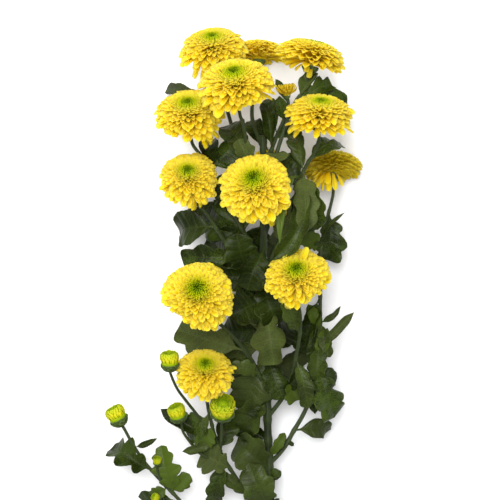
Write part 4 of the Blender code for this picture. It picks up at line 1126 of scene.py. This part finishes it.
class StageSettings(bpy.types.PropertyGroup):
    """Floor, lights and camera."""
    floor_colour: colour_prop("Floor Colour", "Plain colour of the floor", (0.9, 0.9, 0.905))
    key_power: number_prop(
        "Key Light", "Power of the soft light behind the flower heads, in watts", 16.0, 0.0, 500.0)
    fill_power: number_prop("Fill Light", "Power of the soft light overhead, in watts", 27.0, 0.0, 500.0)
    room_light: number_prop("Room Light", "Even light from all round", 0.72, 0.0, 3.0)
    camera_height: number_prop(
        "Camera Height", "Height of the camera over the table", 1.57, 0.3, 5.0, unit="LENGTH")


class CHRYS_OT_blooms(bpy.types.Operator):
    """Builds the yellow blooms, each a spiral of scooped florets round a hidden heart"""
    bl_idname = "chrysanthemum.blooms"
    bl_label = "Build Blooms"

    def execute(self, context):
        settings = context.scene.chrysanthemum_blooms
        material = petal_material(settings)
        for k, (name, (_, *spot)) in enumerate(BLOOMS.items()):
            tips, amount = FULL_TIPS, settings.florets
            if name in HALF_OPEN:
                tips, amount = CUP_TIPS, settings.florets // 3
            elif name in FUNNELS:
                tips = FUNNEL_TIPS
            batches = [full_bloom(settings, name, tips, amount, spot[-1], SEEDS["bloom"] + k)]
            if name in STRAY_FLORETS:
                batches.append(stray_florets(name, *spot))
            batches.append(heart(0.3, -0.05, 0.36, 0.2, 0.3))
            skins = [flower_skin(batch, spot) for batch in batches]
            add_piece(name + "_florets", skins, [material], [name])
        return {"FINISHED"}


class CHRYS_OT_eyes(bpy.types.Operator):
    """Builds the green eyes of unopened florets"""
    bl_idname = "chrysanthemum.eyes"
    bl_label = "Build Eyes"

    def execute(self, context):
        settings = context.scene.chrysanthemum_blooms
        material = petal_material(settings)
        for k, (name, (_, *spot)) in enumerate(BLOOMS.items()):
            amount, height = settings.eye_florets, 0.68
            if name in HALF_OPEN:
                amount, height = settings.eye_florets // 3, 0.8
            batches = (eye_florets(amount, 0.3, height, SEEDS["eye"] + k),
                       heart(0.27, 0.25, 0.46, 0.2, 1.8))
            skins = [flower_skin(batch, spot) for batch in batches]
            node = name.replace("bloom", "eye")
            add_piece(node + "_florets", skins, [material], [node])
        return {"FINISHED"}


class CHRYS_OT_buds(bpy.types.Operator):
    """Builds the bud heads, whose closed florets lean in over the middle"""
    bl_idname = "chrysanthemum.buds"
    bl_label = "Build Buds"

    def execute(self, context):
        material = bud_material(context.scene.chrysanthemum_blooms)
        for k, (name, (_, *spot)) in enumerate(BUDS.items()):
            radius = spot[1]
            batches = (bud_florets(radius, SEEDS["bud"] + k),
                       eye_florets(int(16 + 2 * radius), 0.5, 0.86, SEEDS["nub"] + k),
                       heart(0.95, -0.3, 0.7, 0.6, 0.8))
            skins = [flower_skin(batch, spot) for batch in batches]
            add_piece(name + "_head", skins, [material], [name])
        return {"FINISHED"}


class CHRYS_OT_stem(bpy.types.Operator):
    """Builds the ridged main stem with its cut end and leaves"""
    bl_idname = "chrysanthemum.stem"
    bl_label = "Build Main Stem"

    def execute(self, context):
        settings = context.scene.chrysanthemum_foliage
        materials = [stalk_material(settings), leaf_material(settings)]
        skins = foliage(settings, "main_stem", MAIN_ROUTE, MAIN_STALK, SEEDS["stem"])
        add_piece("main_stem_leafy", skins, materials, ["main_stem"])
        return {"FINISHED"}


class CHRYS_OT_shoots(bpy.types.Operator):
    """Builds the side shoots with their leaves, twigs, calyces and bud cups"""
    bl_idname = "chrysanthemum.shoots"
    bl_label = "Build Shoots"

    def execute(self, context):
        settings = context.scene.chrysanthemum_foliage
        flowers = context.scene.chrysanthemum_blooms
        materials = [stalk_material(settings), leaf_material(settings), bract_material(flowers)]
        for k, (name, route) in enumerate(SHOOT_ROUTES.items()):
            points, cups, twigs = list(route), [], []
            for host, *spot in BLOOMS.values():
                if host == name:
                    points += neck(*spot, CALYX_DEPTH)
                    cups += cup_skins(CALYX_PROFILE, 13, SEEDS["calyx"] + k, spot)
            for bud, (host, *spot) in BUDS.items():
                if host != name:
                    continue
                ending = neck(*spot, BUD_CUP_DEPTH)
                own = TWIG_ROUTES.get(name, {}).get(bud)
                if own is None:
                    points += ending
                else:
                    way = smooth_route(list(own) + ending)
                    twigs.append(skin(*stalk(way, *TWIG_STALK, settings.ridge, [])))
                cups += cup_skins(BUD_CUP_PROFILE, 9, SEEDS["bud_cup"] + k, spot)
            skins = foliage(settings, name, points, SHOOT_STALK, SEEDS["shoot"] + 20 * k) + twigs + cups
            add_piece(name + "_leafy", skins, materials, [name])
        return {"FINISHED"}


def add_area_light(name, place, size, power, tint):
    """Round soft light at a place in metres, turned to the middle of the plant."""
    light = bpy.data.lights.new(name, "AREA")
    light.shape = "DISK"
    light.size = size
    light.energy = power
    light.color = tint
    lamp = bpy.data.objects.new(name, light)
    bpy.context.scene.collection.objects.link(lamp)
    away = np.array(place, dtype=float) - PLANT_MIDDLE
    lamp.location = place
    tilt = math.atan2(math.hypot(away[0], away[1]), away[2])
    lamp.rotation_euler = (tilt, 0.0, math.atan2(away[0], -away[1]))


class CHRYS_OT_stage(bpy.types.Operator):
    """Adds the pale floor, the soft lights and the camera that looks down on the stem"""
    bl_idname = "chrysanthemum.stage"
    bl_label = "Set Stage"

    def execute(self, context):
        settings = context.scene.chrysanthemum_stage
        scene = context.scene
        floor_mesh = bpy.data.meshes.new("floor")
        corners = [(x * FLOOR_REACH, y * FLOOR_REACH, FLOOR_HEIGHT)
                   for x, y in ((-1, -1), (1, -1), (1, 1), (-1, 1))]
        floor_mesh.from_pydata(corners, [], [(0, 1, 2, 3)])
        floor = bpy.data.objects.new("floor", floor_mesh)
        scene.collection.objects.link(floor)
        finish = bpy.data.materials.new("floor_pale")
        finish.use_nodes = True
        shader = finish.node_tree.nodes["Principled BSDF"]
        shader.inputs["Base Color"].default_value = rgba(settings.floor_colour)
        shader.inputs["Roughness"].default_value = 0.9
        shader.inputs["Specular IOR Level"].default_value = 0.1
        floor_mesh.materials.append(finish)
        room = bpy.data.worlds.new("soft_room")
        room.use_nodes = True
        sky = room.node_tree.nodes["Background"]
        sky.inputs["Color"].default_value = (1.0, 1.0, 1.0, 1.0)
        sky.inputs["Strength"].default_value = settings.room_light
        scene.world = room
        add_area_light("key_light", KEY_PLACE, KEY_SIZE, settings.key_power, (1.0, 0.99, 0.97))
        add_area_light("fill_light", FILL_PLACE, FILL_SIZE, settings.fill_power, (0.98, 0.99, 1.0))
        camera = bpy.data.cameras.new("camera")
        camera.sensor_width = SENSOR_MM
        camera.lens = SENSOR_MM * VIEW_DISTANCE / VIEW_WIDTH
        camera.clip_start, camera.clip_end = 0.05, 20.0
        view = bpy.data.objects.new("camera", camera)
        view.location = (*CAMERA_OVER, settings.camera_height)
        scene.collection.objects.link(view)
        scene.camera = view
        scene.view_settings.view_transform = "Standard"
        return {"FINISHED"}


OPERATORS = (CHRYS_OT_blooms, CHRYS_OT_eyes, CHRYS_OT_buds, CHRYS_OT_stem, CHRYS_OT_shoots, CHRYS_OT_stage)
SETTINGS = {
    "chrysanthemum_blooms": BloomSettings,
    "chrysanthemum_foliage": FoliageSettings,
    "chrysanthemum_stage": StageSettings,
}


class CHRYS_PT_panel(bpy.types.Panel):
    """Sizes, colours and builders of the chrysanthemum stem"""
    bl_label = "Chrysanthemum"
    bl_idname = "CHRYS_PT_panel"
    bl_space_type = "VIEW_3D"
    bl_region_type = "UI"
    bl_category = "Chrysanthemum"

    def draw(self, context):
        for key in SETTINGS:
            group = getattr(context.scene, key)
            box = self.layout.box()
            for prop in group.bl_rna.properties:
                if prop.identifier not in ("rna_type", "name"):
                    box.prop(group, prop.identifier)
        for operator in OPERATORS:
            self.layout.operator(operator.bl_idname)


CLASSES = tuple(SETTINGS.values()) + OPERATORS + (CHRYS_PT_panel,)


def register():
    for item in CLASSES:
        bpy.utils.register_class(item)
    for key, group in SETTINGS.items():
        setattr(bpy.types.Scene, key, bpy.props.PointerProperty(type=group))


def unregister():
    for key in SETTINGS:
        delattr(bpy.types.Scene, key)
    for item in reversed(CLASSES):
        bpy.utils.unregister_class(item)


def main():
    register()
    bpy.ops.chrysanthemum.blooms()
    bpy.ops.chrysanthemum.eyes()
    bpy.ops.chrysanthemum.buds()
    bpy.ops.chrysanthemum.stem()
    bpy.ops.chrysanthemum.shoots()
    bpy.ops.chrysanthemum.stage()
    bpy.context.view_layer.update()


if __name__ == "__main__":
    main()
